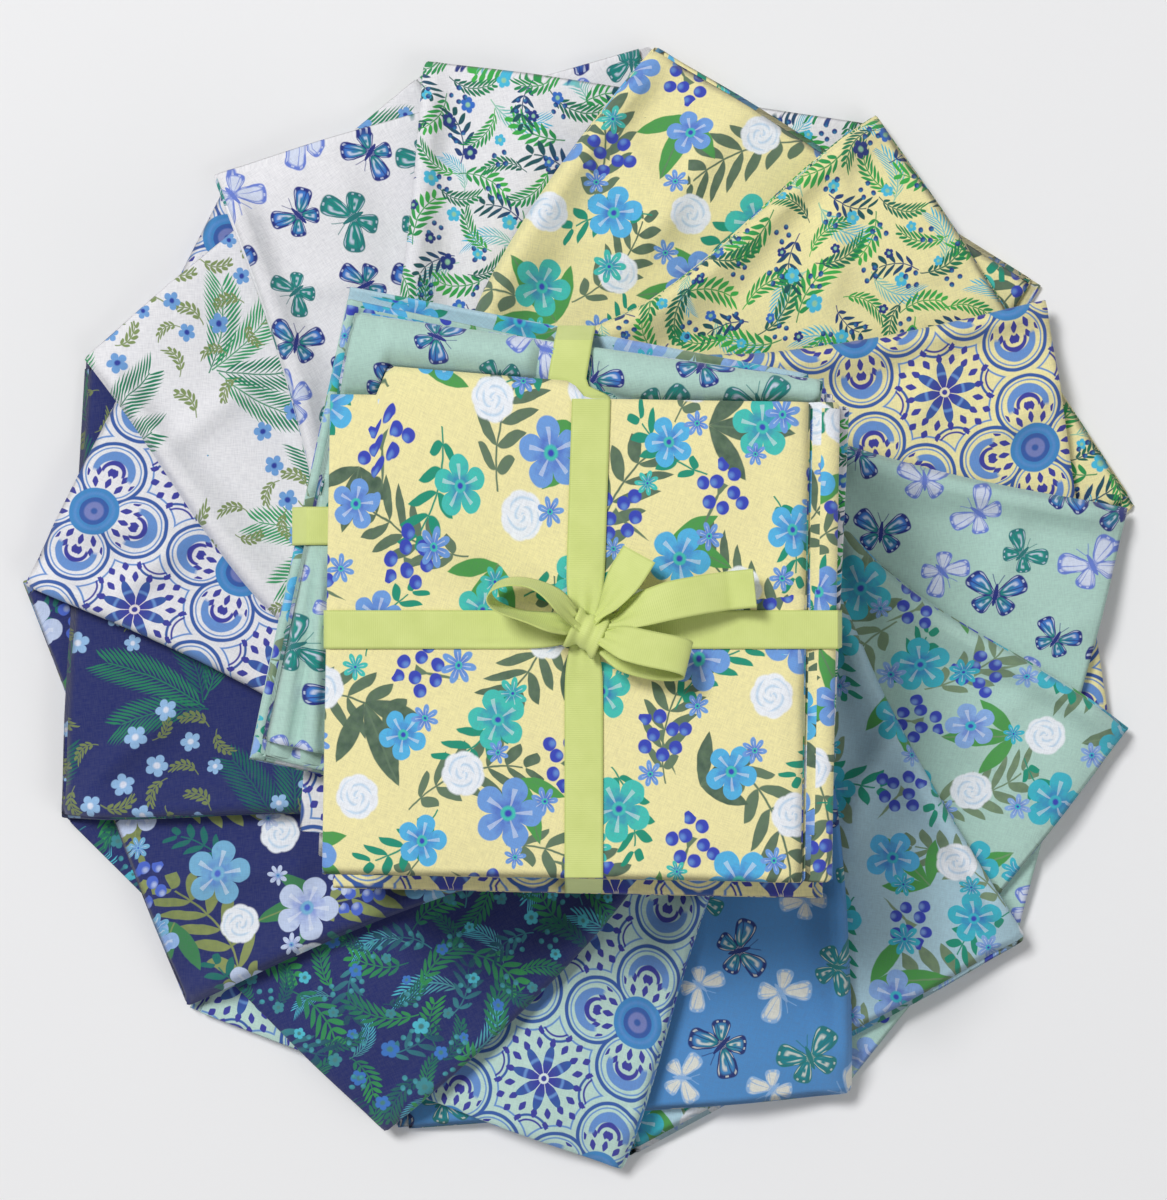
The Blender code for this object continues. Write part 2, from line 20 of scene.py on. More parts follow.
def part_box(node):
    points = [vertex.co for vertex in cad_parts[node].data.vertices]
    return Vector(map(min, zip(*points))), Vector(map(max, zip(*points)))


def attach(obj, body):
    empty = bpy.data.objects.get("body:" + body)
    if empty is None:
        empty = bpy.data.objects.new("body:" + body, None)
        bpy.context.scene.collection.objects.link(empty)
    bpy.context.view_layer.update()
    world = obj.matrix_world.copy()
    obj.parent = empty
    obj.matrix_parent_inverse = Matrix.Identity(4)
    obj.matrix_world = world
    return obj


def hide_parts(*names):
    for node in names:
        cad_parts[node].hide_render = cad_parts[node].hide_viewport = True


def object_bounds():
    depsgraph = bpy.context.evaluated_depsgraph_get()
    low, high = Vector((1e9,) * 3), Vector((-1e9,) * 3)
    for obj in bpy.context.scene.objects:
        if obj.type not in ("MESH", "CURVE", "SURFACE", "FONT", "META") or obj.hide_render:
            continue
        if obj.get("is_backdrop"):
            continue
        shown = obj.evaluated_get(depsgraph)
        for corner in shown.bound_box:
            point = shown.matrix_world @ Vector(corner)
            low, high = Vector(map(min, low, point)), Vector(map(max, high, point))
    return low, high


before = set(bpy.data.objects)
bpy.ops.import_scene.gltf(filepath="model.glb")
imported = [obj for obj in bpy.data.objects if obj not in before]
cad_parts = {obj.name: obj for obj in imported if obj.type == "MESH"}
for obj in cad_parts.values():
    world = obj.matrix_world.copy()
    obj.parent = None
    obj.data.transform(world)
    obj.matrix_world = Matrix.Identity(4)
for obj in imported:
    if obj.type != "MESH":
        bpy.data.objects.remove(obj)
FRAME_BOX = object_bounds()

MM = 0.001
SOFT_EDGE = 0.14
Socket = bpy.types.NodeSocket
Colour = tuple[float, float, float, float]
Inputs = dict[Any, Any]
LOG = logging.getLogger("bundle")


def ink(red: int, green: int, blue: int) -> Colour:
    """Linear colour from a printed one.

    Args:
        red: Red, 0 to 255.
        green: Green, 0 to 255.
        blue: Blue, 0 to 255.

    Returns:
        The colour with an alpha of 1.
    """
    linear = [((part / 255.0 + 0.055) / 1.055) ** 2.4 if part > 10 else part / 3295.0
              for part in (red, green, blue)]
    return (*linear, 1.0)


def clamped(value: float) -> float:
    """The value, kept between 0 and 1."""
    return min(1.0, max(0.0, value))


def smooth(value: float) -> float:
    """Ease from 0 to 1."""
    value = clamped(value)
    return value * value * (3.0 - 2.0 * value)


def added(name: str, data: bpy.types.ID) -> bpy.types.Object:
    """Add an object to the scene.

    Args:
        name: Its name.
        data: Its mesh, light or camera.

    Returns:
        The object.
    """
    piece = bpy.data.objects.new(name, data)
    bpy.context.scene.collection.objects.link(piece)
    return piece


def gone_along(steps: Iterable[float]) -> list[float]:
    """Distances from a line's first point to each of its points, from the steps between them."""
    return list(accumulate(steps, initial=0.0))


# ---- shader maths


class Value:
    """A number that varies over a surface. Its operators add Math nodes."""

    def __init__(self, paint: "Paint", socket: Socket) -> None:
        """Wrap a socket of a paint's node tree."""
        self.paint = paint
        self.socket = socket

    def __add__(self, other: "Number") -> "Value":
        """Sum."""
        return self.paint.math("ADD", self, other)

    def __sub__(self, other: "Number") -> "Value":
        """Difference."""
        return self.paint.math("SUBTRACT", self, other)

    def __rsub__(self, other: "Number") -> "Value":
        """Difference from a number."""
        return self.paint.math("SUBTRACT", other, self)

    def __mul__(self, other: "Number") -> "Value":
        """Product."""
        return self.paint.math("MULTIPLY", self, other)

    def __truediv__(self, other: "Number") -> "Value":
        """Quotient."""
        return self.paint.math("DIVIDE", self, other)

    def __pow__(self, other: "Number") -> "Value":
        """Power."""
        return self.paint.math("POWER", self, other)

    def __abs__(self) -> "Value":
        """Size without its sign."""
        return self.paint.math("ABSOLUTE", self)

    def __lt__(self, other: "Number") -> "Value":
        """1 where less, and 0 elsewhere."""
        return self.paint.math("LESS_THAN", self, other)

    def __gt__(self, other: "Number") -> "Value":
        """1 where greater, and 0 elsewhere."""
        return self.paint.math("GREATER_THAN", self, other)

    __radd__ = __add__
    __rmul__ = __mul__


Number = float | Value


@dataclass(frozen=True)
class Spot:
    """Where a motif is drawn: its own coordinates in mm, and two random numbers for it."""

    place: Socket
    x: Value
    y: Value
    pick: Value
    chance: Value
    cell: Socket | None = None


@dataclass(frozen=True)
class Scatter:
    """How a motif is strewn, one to a square cell: mm and degrees, and shares of a cell.

    Motifs that share a pitch and a lattice, at different sites in its cells, keep clear of each other.
    """

    pitch: float
    lattice: float
    site: tuple[float, float]
    seed: float
    wander: float = 0.2
    spin: float = 360.0
    start: float = 0.0
    grow: float = 0.0
    size: float = 1.0


@dataclass(frozen=True)
class Ring:
    """A ring round a middle, or a disc where it has no half width: its colour, and mm of cloth."""

    radius: float
    tone: Any
    half: float = 0.0
    soft: float = SOFT_EDGE
    share: Number = 1.0


class Paint:
    """A material's nodes. Distances in its patterns are in mm of cloth."""

    def __init__(self, name: str) -> None:
        """Start an empty material.

        Args:
            name: Its name.
        """
        self.material = bpy.data.materials.new(name)
        self.material.use_nodes = True
        self.tree = self.material.node_tree
        self.tree.nodes.clear()

    def node(self, kind: str, settings: Inputs | None = None, inputs: Inputs | None = None) -> bpy.types.Node:
        """Add a node.

        Args:
            kind: The node's type, without its ShaderNode prefix.
            settings: Its settings, set first.
            inputs: A value, Value or socket for each input, by name or number.

        Returns:
            The node.
        """
        made = self.tree.nodes.new("ShaderNode" + kind)
        for name, value in (settings or {}).items():
            setattr(made, name, value)
        for key, value in (inputs or {}).items():
            source = value.socket if isinstance(value, Value) else value
            if isinstance(source, Socket):
                self.tree.links.new(source, made.inputs[key])
            else:
                made.inputs[key].default_value = source
        return made

    def math(self, operation: str, *numbers: Number, clamp: bool = False) -> Value:
        """One Math node on some numbers."""
        made = self.node("Math", {"operation": operation, "use_clamp": clamp}, dict(enumerate(numbers)))
        return Value(self, made.outputs[0])

    def vector(self, operation: str, first: Any, second: Any = (0.0, 0.0, 0.0)) -> Socket:
        """One Vector Math node on two vectors."""
        return self.node("VectorMath", {"operation": operation}, {0: first, 1: second}).outputs[0]

    def length(self, vector: Socket) -> Value:
        """Length of a vector."""
        made = self.node("VectorMath", {"operation": "LENGTH"}, {0: vector})
        return Value(self, made.outputs["Value"])

    def mix(self, factor: Number, first: Any, second: Any) -> Socket:
        """A colour between two colours."""
        return self.node("Mix", {"data_type": "RGBA"}, {0: factor, 6: first, 7: second}).outputs[2]

    def cover(self, distance: Value, soft: float = SOFT_EDGE) -> Value:
        """1 where a signed distance is below 0, with a soft edge."""
        return self.math("MULTIPLY_ADD", distance, -0.5 / soft, 0.5, clamp=True)

    def times_plus(self, value: Value, factor: Number, offset: Number) -> Value:
        """value * factor + offset in one node."""
        return self.math("MULTIPLY_ADD", value, factor, offset)

    def rings(self, colour: Any, distance: Value, rings: Sequence[Ring]) -> Socket:
        """Paint rings round a middle.

        Args:
            colour: The colour under them.
            distance: Distance from the middle.
            rings: The rings, lowest first.

        Returns:
            The colour with the rings.
        """
        for ring in rings:
            edge = abs(distance - ring.radius) - ring.half if ring.half else distance - ring.radius
            cover = self.cover(edge, ring.soft)
            colour = self.mix(cover if ring.share == 1.0 else cover * ring.share, colour, ring.tone)
        return colour

    def split(self, vector: Socket) -> tuple[Value, Value]:
        """X and Y of a vector."""
        made = self.node("SeparateXYZ", None, {0: vector})
        return Value(self, made.outputs[0]), Value(self, made.outputs[1])

    def cloth(self, ripple: float) -> Socket:
        """Place on the cloth, unsteady as a painted line is.

        Args:
            ripple: How unsteady, in mm.

        Returns:
            The place in mm.
        """
        flat = self.node("UVMap", {"uv_map": "cloth"}).outputs[0]
        steady = self.node("Mapping", None, {0: flat, 3: (1000.0, 1000.0, 1.0)}).outputs[0]
        wobble = self.node("TexNoise", {"noise_dimensions": "2D"},
                           {"Vector": steady, "Scale": 0.22, "Detail": 1.5}).outputs["Color"]
        moved = self.node("VectorMath", {"operation": "MULTIPLY_ADD"},
                          {0: wobble, 1: (2.0 * ripple, 2.0 * ripple, 0.0), 2: steady})
        return moved.outputs[0]

    def noise(self, place: Socket, scale: float, detail: float = 2.0) -> Value:
        """Smooth noise.

        Args:
            place: Place on the cloth in mm.
            scale: Its scale in 1/mm.
            detail: Its octaves.

        Returns:
            The noise, from 0 to 1.
        """
        made = self.node("TexNoise", {"noise_dimensions": "2D"},
                         {"Vector": place, "Scale": scale, "Detail": detail})
        return Value(self, made.outputs[0])

    def dress(self, colour: Socket, weave: Value, roughness: float, relief: float) -> None:
        """Finish the material.

        Args:
            colour: Its colour.
            weave: Height of its threads, 0 to 1.
            roughness: Its roughness.
            relief: Height of the threads in metres.
        """
        bump = self.node("Bump", None, {"Strength": 0.5, "Distance": relief, "Height": weave}).outputs[0]
        shader = self.node("BsdfPrincipled", None, {
            "Base Color": colour, "Roughness": roughness, "Specular IOR Level": 0.25,
            "Sheen Weight": 0.12, "Sheen Roughness": 0.6, "Normal": bump})
        self.node("OutputMaterial", None, {"Surface": shader.outputs[0]})


# ---- motifs


class PrintPaint(Paint):
    """Paint with printed motifs, each drawn round a spot. A shape is a signed distance in mm."""

    def __init__(self, name: str, ripple: float) -> None:
        """Start a print whose lines are unsteady by a ripple in mm."""
        super().__init__(name)
        self.place = self.cloth(ripple)

    def spots(self, scatter: Scatter) -> Spot:
        """Coordinates of the motif nearest to each place.

        Args:
            scatter: How the motif is strewn.

        Returns:
            The motif's own coordinates and random numbers.
        """
        shift = (scatter.site[0] + 31.0 * scatter.seed, scatter.site[1] + 17.0 * scatter.seed, 0.0)
        size = 1.0 / scatter.pitch
        turn = (0.0, 0.0, math.radians(scatter.lattice))
        lattice = self.node("Mapping", None,
                            {0: self.place, 1: shift, 2: turn, 3: (size, size, 1.0)}).outputs[0]
        corner = self.vector("FLOOR", lattice)
        random = self.node("TexWhiteNoise", {"noise_dimensions": "2D"}, {"Vector": corner})
        wander = (scatter.wander, scatter.wander, 0.0)
        least = 0.5 - 0.5 * scatter.wander
        home = self.node("VectorMath", {"operation": "MULTIPLY_ADD"},
                         {0: random.outputs[1], 1: wander, 2: (least, least, 0.0)})
        middle = self.vector("ADD", corner, home.outputs[0])
        local = self.vector("SUBTRACT", lattice, middle)
        parts = self.node("SeparateColor", None, {0: random.outputs[1]})
        chance = Value(self, random.outputs[0])
        blue = Value(self, parts.outputs[2])
        spread: Number = scatter.pitch / scatter.size
        if scatter.grow:
            spread = self.times_plus(Value(self, parts.outputs[1]), scatter.grow * spread,
                                     spread * (1.0 - 0.5 * scatter.grow))
        sized = self.node("VectorMath", {"operation": "SCALE"}, {0: local, "Scale": spread}).outputs[0]
        angle = self.times_plus(blue, math.radians(scatter.spin), math.radians(scatter.start))
        turned = self.node("VectorRotate", {"rotation_type": "Z_AXIS"}, {"Vector": sized, "Angle": angle})
        return Spot(turned.outputs[0], *self.split(turned.outputs[0]), blue, chance, corner)

    def leaf(self, x: Value, y: Value, length: float, width: float) -> Value:
        """A pointed leaf from 0 along x.

        Args:
            x: Place along it in mm.
            y: Place beside it in mm.
            length: Its length in mm.
            width: Half its width in mm.

        Returns:
            Its signed distance.
        """
        share = x * (1.0 / length)
        bulge = self.times_plus(share, share * -1.0, share)
        return self.times_plus(bulge, -4.0 * width, abs(y))

    def moved(self, spot: Spot, right: float, up: float, degrees: float = 0.0,
              mirrored: bool = False) -> Spot:
        """The spot of a part of a motif.

        Args:
            spot: The motif's spot.
            right: Where the part is, in mm to the right.
            up: Where the part is, in mm up.
            degrees: Its turn, anticlockwise.
            mirrored: Whether it is also drawn on the left.

        Returns:
            The part's spot.
        """
        place = spot.place
        if mirrored:
            place = self.node("CombineXYZ", None, {0: abs(spot.x), 1: spot.y}).outputs[0]
        turn = (0.0, 0.0, math.radians(degrees))
        local = self.node("Mapping", {"vector_type": "TEXTURE"},
                          {0: place, 1: (right, up, 0.0), 2: turn}).outputs[0]
        return Spot(local, *self.split(local), spot.pick, spot.chance)

    def sprig(self, spot: Spot, shape: "Sprig") -> tuple[Value, Value]:
        """A stem with pairs of leaves.

        Args:
            spot: Where it is drawn. The stem runs along y through the middle.
            shape: Its sizes.

        Returns:
            Its cover, and how far along the stem a place is, from -1 to 1.
        """
        step = shape.step
        along = spot.y * (2.0 / shape.length)
        stem = abs(self.times_plus(along * along, -shape.bend, spot.x))
        pair = self.times_plus(stem, -shape.lean / step, spot.y * (1.0 / step))
        whole = self.math("FLOOR", pair)
        foot = whole * (2.0 * step / shape.length)
        here = abs(pair - whole - 0.5) * step
        narrow = self.times_plus(foot * foot, -0.5 * shape.reach, shape.reach)
        out = stem / narrow
        bulge = self.times_plus(out, out * -1.0, out)
        leaves = self.cover(self.times_plus(bulge, -4.0 * shape.full * step, here))
        leaves = leaves * (abs(foot) < 0.95)
        line = self.cover(stem - shape.stem) * (abs(along) < 1.0)
        return self.math("MAXIMUM", leaves, line), along

    def petals(self, spot: Spot, count: float, size: float, notch: float,
               blunt: float) -> tuple[Value, Value, Value]:
        """A flower.

        Args:
            spot: Where it is drawn.
            count: Its petals.
            size: Its radius in mm.
            notch: Depth of the notches, as a share of the radius.
            blunt: Power that shapes the petals: small for blunt ones.

        Returns:
            Its signed distance, the radius as a share of the size, and the lobes from 0 to 1.
        """
        angle = self.math("ARCTAN2", spot.y, spot.x)
        lobes = abs(self.math("COSINE", angle * (count / 2.0))) ** blunt
        radius = self.length(spot.place)
        edge = self.times_plus(lobes, -notch * size, radius) - (1.0 - notch) * size
        return edge, radius * (1.0 / size), lobes

    def berries(self, spot: Spot, spacing: float, berry: float, cluster: float) -> tuple[Value, Value]:
        """A cluster of whole berries.

        Args:
            spot: Where it is drawn.
            spacing: Distance between berries in mm.
            berry: A berry's radius in mm.
            cluster: The cluster's radius in mm.

        Returns:
            Its cover, and the light on the berries from 0 to 1.
        """
        found = self.node("TexVoronoi", {"voronoi_dimensions": "2D"},
                           {"Vector": spot.place, "Scale": 1.0 / spacing, "Randomness": 0.6})
        distance = Value(self, found.outputs["Distance"]) * spacing
        home = found.outputs["Position"]
        inside = self.length(home) < cluster
        cover = self.cover(distance - berry) * inside
        offset = self.vector("SUBTRACT", spot.place, home)
        shine = self.length(self.vector("ADD", offset, (0.35 * berry, -0.35 * berry, 0.0)))
        return cover, self.cover(shine - 0.45 * berry, 0.5)

    def wing(self, spot: Spot, at: tuple[float, float], turn: float, size: tuple[float, float]) -> Value:
        """A wing and its mirror image, wider at the outer end.

        Args:
            spot: The butterfly's spot.
            at: The wing's middle in mm.
            turn: Its turn in degrees.
            size: Its half length and half width in mm.

        Returns:
            Its signed distance.
        """
        local = self.moved(spot, *at, turn, True)
        long = local.x * (1.0 / size[0])
        wide = local.y * (1.0 / size[1]) / self.times_plus(long, 0.5, 0.92)
        oval = (abs(long) ** 2.7 + abs(wide) ** 2.7) ** (1.0 / 2.7)
        return self.times_plus(oval, min(size), -min(size))


@dataclass(frozen=True)
class Sprig:
    """Sizes of a sprig in mm, and half a leaf's width as a share of the step between pairs."""

    length: float
    reach: float
    step: float
    lean: float
    bend: float
    full: float
    stem: float = 0.22


class Print:
    """A design that is printed on cotton. Its colours are its fields."""

    ripple = 0.3

    def draw(self, paint: PrintPaint, ground: Any) -> Socket:
        """Draw the design over its ground colour.

        Args:
            paint: The material's paint.
            ground: The ground colour.

        Returns:
            The printed colour.
        """
        raise NotImplementedError


@dataclass(frozen=True)
class Butterflies(Print):
    """Butterflies strewn in all directions, in three colourings."""

    dark: Colour = ink(30, 44, 128)
    bright: Colour = ink(58, 120, 205)
    deep: Colour = ink(10, 140, 130)
    teal: Colour = ink(30, 120, 120)
    pale: Colour = ink(214, 222, 242)
    faint: Colour = ink(104, 128, 212)
    pitch: float = 31.0

    def draw(self, paint: PrintPaint, ground: Any) -> Socket:
        """Draw the butterflies.

        Args:
            paint: The material's paint.
            ground: The ground colour.

        Returns:
            The printed colour.
        """
        colour = ground
        for site, seed in (((0.0, 0.0), 3.0), ((0.5, 0.5), 8.0)):
            spot = paint.spots(Scatter(self.pitch, 8.0, site, seed, 0.2, grow=0.3, size=0.74))
            colour = self.butterfly(paint, spot, colour)
        return colour

    def butterfly(self, paint: PrintPaint, spot: Spot, colour: Any) -> Socket:
        """Draw one butterfly.

        Args:
            paint: The material's paint.
            spot: Where it is drawn.
            colour: The colour under it.

        Returns:
            The printed colour.
        """
        upper = paint.wing(spot, (5.9, 3.3), 36.0, (6.6, 3.9))
        lower = paint.wing(spot, (3.9, -3.5), -46.0, (4.7, 3.4))
        wings = paint.math("MINIMUM", upper, lower)
        side = abs(spot.x)
        radius = paint.length(spot.place)
        outlined = spot.chance > 0.72
        plain = spot.chance < 0.3
        edge = paint.mix(outlined, paint.mix(plain, self.dark, self.teal), self.faint)
        flat = paint.mix(paint.times_plus(radius, 0.13, -0.35), self.deep, self.bright)
        flat = paint.mix(plain, flat, self.deep)
        flat = paint.mix(outlined, flat, self.pale)
        angle = paint.math("ARCTAN2", spot.y, side)
        rays = abs(paint.math("SINE", paint.times_plus(angle, 6.5, 0.4)))
        streaks = paint.cover(0.72 - rays, 0.1) * paint.cover(abs(wings + 2.3) - 0.5, 0.3)
        flat = paint.mix(streaks * 0.8, flat, self.pale)
        flat = paint.mix(paint.cover(rays - 0.16, 0.1) * 0.8, flat, edge)
        flat = paint.mix(paint.cover(-1.0 - wings, 0.3), flat, edge)
        dots = (paint.math("COSINE", angle * 21.0) > 0.45) * paint.cover(abs(wings + 0.55) - 0.2)
        flat = paint.mix(dots * 0.8, flat, self.pale)
        colour = paint.mix(paint.cover(wings), colour, flat)
        body = paint.length(paint.vector("MULTIPLY", spot.place, (5.2, 1.0, 0.0))) - 4.8
        feeler = paint.math("MAXIMUM", abs(paint.times_plus(spot.y, -0.45, side) + 1.5) - 0.16,
                            abs(spot.y - 6.4) - 2.2)
        return paint.mix(paint.cover(paint.math("MINIMUM", body, feeler), 0.2), colour, edge)


@dataclass(frozen=True)
class Foliage(Print):
    """Small sprigs, berries and flowers, close together in all directions."""

    faint: Colour = ink(150, 205, 170)
    light: Colour = ink(60, 178, 70)
    leaf: Colour = ink(20, 140, 78)
    dark: Colour = ink(15, 84, 84)
    blue: Colour = ink(50, 110, 200)
    night: Colour = ink(28, 50, 130)
    sky: Colour = ink(70, 190, 225)
    pitch: float = 26.0

    def draw(self, paint: PrintPaint, ground: Any) -> Socket:
        """Draw the sprigs, the flowers and the berries.

        Args:
            paint: The material's paint.
            ground: The ground colour.

        Returns:
            The printed colour.
        """
        colour = ground
        sprigs = (
            # site, seed, sizes, two colours
            ((0.25, 0.25), 5.0, Sprig(17.0, 3.6, 1.5, 1.5, 3.0, 0.28), (self.faint, self.sky)),
            ((0.0, 0.0), 1.0, Sprig(20.0, 5.0, 2.7, 0.9, -2.5, 0.38), (self.leaf, self.light)),
            ((0.5, 0.0), 2.0, Sprig(18.0, 3.4, 1.9, 1.1, 3.0, 0.42), (self.dark, self.leaf)),
            ((0.0, 0.5), 3.0, Sprig(17.0, 5.4, 3.6, 0.8, 2.0, 0.30), (self.night, self.dark)),
            ((0.5, 0.5), 4.0, Sprig(20.0, 3.8, 2.2, 1.2, -3.0, 0.40), (self.light, self.leaf)),
        )
        for site, seed, shape, tones in sprigs:
            spot = paint.spots(Scatter(self.pitch, 20.0, site, seed, 0.2, grow=0.5, size=0.9))
            cover, along = paint.sprig(spot, shape)
            colour = paint.mix(cover, colour, paint.mix(along * 0.5 + 0.5, *tones))
        spot = paint.spots(Scatter(0.5 * self.pitch, 20.0, (0.5, 0.0), 6.0, 0.5, grow=0.7))
        edge, radius, _ = paint.petals(spot, 5.0, 2.1, 0.35, 0.6)
        flower = paint.mix(spot.chance > 0.6, paint.mix(spot.chance > 0.3, self.blue, self.sky), self.night)
        flower = paint.mix(paint.cover(radius - 0.32, 0.1), flower, self.faint)
        colour = paint.mix(paint.cover(edge) * (spot.chance < 0.85), colour, flower)
        spot = paint.spots(Scatter(0.6 * self.pitch, 65.0, (0.0, 0.5), 7.0, 0.4))
        cover, shine = paint.berries(spot, 2.9, 0.85, 2.8)
        return paint.mix(cover, colour, paint.mix(shine * 0.5, self.night, self.sky))


@dataclass(frozen=True)
class Floral(Print):
    """Large flowers, pale roses, leaves and clusters of berries."""

    leaf: Colour = ink(104, 128, 100)
    shade: Colour = ink(50, 78, 62)
    green: Colour = ink(78, 158, 76)
    emerald: Colour = ink(22, 148, 118)
    blue: Colour = ink(112, 160, 226)
    sky: Colour = ink(84, 182, 232)
    royal: Colour = ink(54, 70, 186)
    turquoise: Colour = ink(66, 196, 184)
    rose: Colour = ink(240, 244, 250)
    rose_line: Colour = ink(182, 212, 238)
    pitch: float = 46.0
    lattice: float = 12.0

    def draw(self, paint: PrintPaint, ground: Any) -> Socket:
        """Draw from the leaves up to the flowers.

        Args:
            paint: The material's paint.
            ground: The ground colour.

        Returns:
            The printed colour.
        """
        wash = paint.noise(paint.place, 0.35)
        greens = paint.mix(paint.times_plus(wash, 1.0, 0.05), self.shade, self.leaf)
        colour = self.leaves(paint, ground, greens)
        colour = self.roses_and_berries(paint, colour)
        spot = paint.spots(Scatter(self.pitch / math.sqrt(2.0), self.lattice + 45.0, (0.0, 0.0), 5.0,
                                          0.2, grow=0.4))
        outer = paint.mix(spot.chance > 0.36, self.blue, self.sky)
        outer = paint.mix(spot.chance > 0.66, outer, self.turquoise)
        colour = self.flower(paint, paint.petals(spot, 5.0, 8.8, 0.6, 0.42), wash, outer, self.royal, colour)
        spot = paint.spots(Scatter(0.5 * self.pitch, self.lattice, (0.4, 0.1), 6.0, 0.4, grow=0.5))
        outer = paint.mix(spot.chance > 0.55, self.turquoise, self.blue)
        small = paint.petals(spot, 7.0, 4.2, 0.7, 0.8)
        small = (small[0] + (spot.chance < 0.3) * 9.0, *small[1:])
        return self.flower(paint, small, wash, outer, self.royal, colour)

    def leaves(self, paint: PrintPaint, ground: Any, greens: Socket) -> Socket:
        """Draw the leafy stems and the large leaves.

        Args:
            paint: The material's paint.
            ground: The ground colour.
            greens: The leaves' colour.

        Returns:
            The printed colour.
        """
        spot = paint.spots(Scatter(self.pitch, self.lattice, (0.0, 0.0), 1.0, 0.15, grow=0.3))
        cover, along = paint.sprig(spot, Sprig(40.0, 10.0, 6.0, 0.8, 5.0, 0.36, 0.3))
        colour = paint.mix(cover, ground, paint.mix(along * 0.4 + 0.4, self.leaf, greens))
        spot = paint.spots(Scatter(self.pitch, self.lattice, (0.0, 0.5), 3.0, 0.2, grow=0.3))
        cover, _ = paint.sprig(spot, Sprig(24.0, 6.4, 5.4, 0.7, 2.5, 0.30, 0.26))
        colour = paint.mix(cover, colour, self.emerald)
        spot = paint.spots(Scatter(self.pitch, self.lattice, (0.5, 0.0), 2.0, 0.2, grow=0.3))
        low = paint.moved(spot, -11.0, 0.0)
        middle = paint.leaf(low.x, low.y, 23.0, 3.3)
        sides = paint.moved(Spot(low.place, low.y, low.x, low.pick, low.chance), 0.0, 0.0, 40.0, True)
        leaves = paint.math("MINIMUM", middle, paint.leaf(sides.x, sides.y, 17.0, 2.5))
        tone = paint.mix(spot.chance > 0.5, greens, self.green)
        tone = paint.mix(paint.cover(abs(low.y) - 0.25) * 0.7, tone, self.leaf)
        return paint.mix(paint.cover(leaves), colour, tone)

    def roses_and_berries(self, paint: PrintPaint, colour: Any) -> Socket:
        """Draw a pale rose or a cluster of hanging berries at each spot.

        Args:
            paint: The material's paint.
            colour: The colour under them.

        Returns:
            The printed colour.
        """
        spot = paint.spots(Scatter(self.pitch / math.sqrt(2.0), self.lattice + 45.0, (0.5, 0.5), 4.0, 0.2))
        stalk = paint.math("MINIMUM", paint.leaf(spot.x + 11.0, spot.y, 13.0, 0.5),
                           paint.times_plus(abs(spot.y), 1.0, spot.x * -0.42 - 0.6))
        berried = spot.chance > 0.5
        near = paint.cover(paint.math("MAXIMUM", stalk, abs(spot.x + 4.0) - 7.0))
        colour = paint.mix(near * berried, colour, self.leaf)
        cover, shine = paint.berries(spot, 5.0, 2.05, 8.4)
        colour = paint.mix(cover * berried, colour, paint.mix(shine * 0.7, self.royal, self.blue))
        edge, radius, _ = paint.petals(spot, 7.0, 6.6, 0.07, 0.8)
        angle = paint.math("ARCTAN2", spot.y, spot.x)
        swirl = paint.math("FRACT", paint.times_plus(angle, 1.0 / math.tau, radius * 3.0))
        strokes = paint.cover(abs(swirl - 0.5) - 0.16, 0.16)
        strokes = strokes * (paint.math("SINE", angle * 3.0 + radius * 9.0) > -0.6)
        tone = paint.mix(strokes * paint.cover(radius - 0.82, 0.05) * 0.8, self.rose, self.rose_line)
        return paint.mix(paint.cover(edge, 0.3) * (spot.chance < 0.5), colour, tone)

    def flower(self, paint: PrintPaint, shape: tuple[Value, Value, Value], wash: Value, outer: Any,
               inner: Any, colour: Any) -> Socket:
        """Draw a flower.

        Args:
            paint: The material's paint.
            shape: Its signed distance, radius and lobes.
            wash: Unevenness of its colour.
            outer: Colour of its rim.
            inner: Colour of its middle.
            colour: The colour under it.

        Returns:
            The printed colour.
        """
        edge, radius, lobes = shape
        tone = paint.mix(paint.times_plus(wash, 0.9, radius * -1.1) + 0.25, outer, inner)
        tone = paint.mix((lobes > 0.985) * (radius < 0.7) * 0.4, tone, self.rose)
        tone = paint.rings(tone, radius, (Ring(0.21, self.turquoise, soft=0.03), Ring(0.1, inner, soft=0.03)))
        return paint.mix(paint.cover(edge), colour, tone)


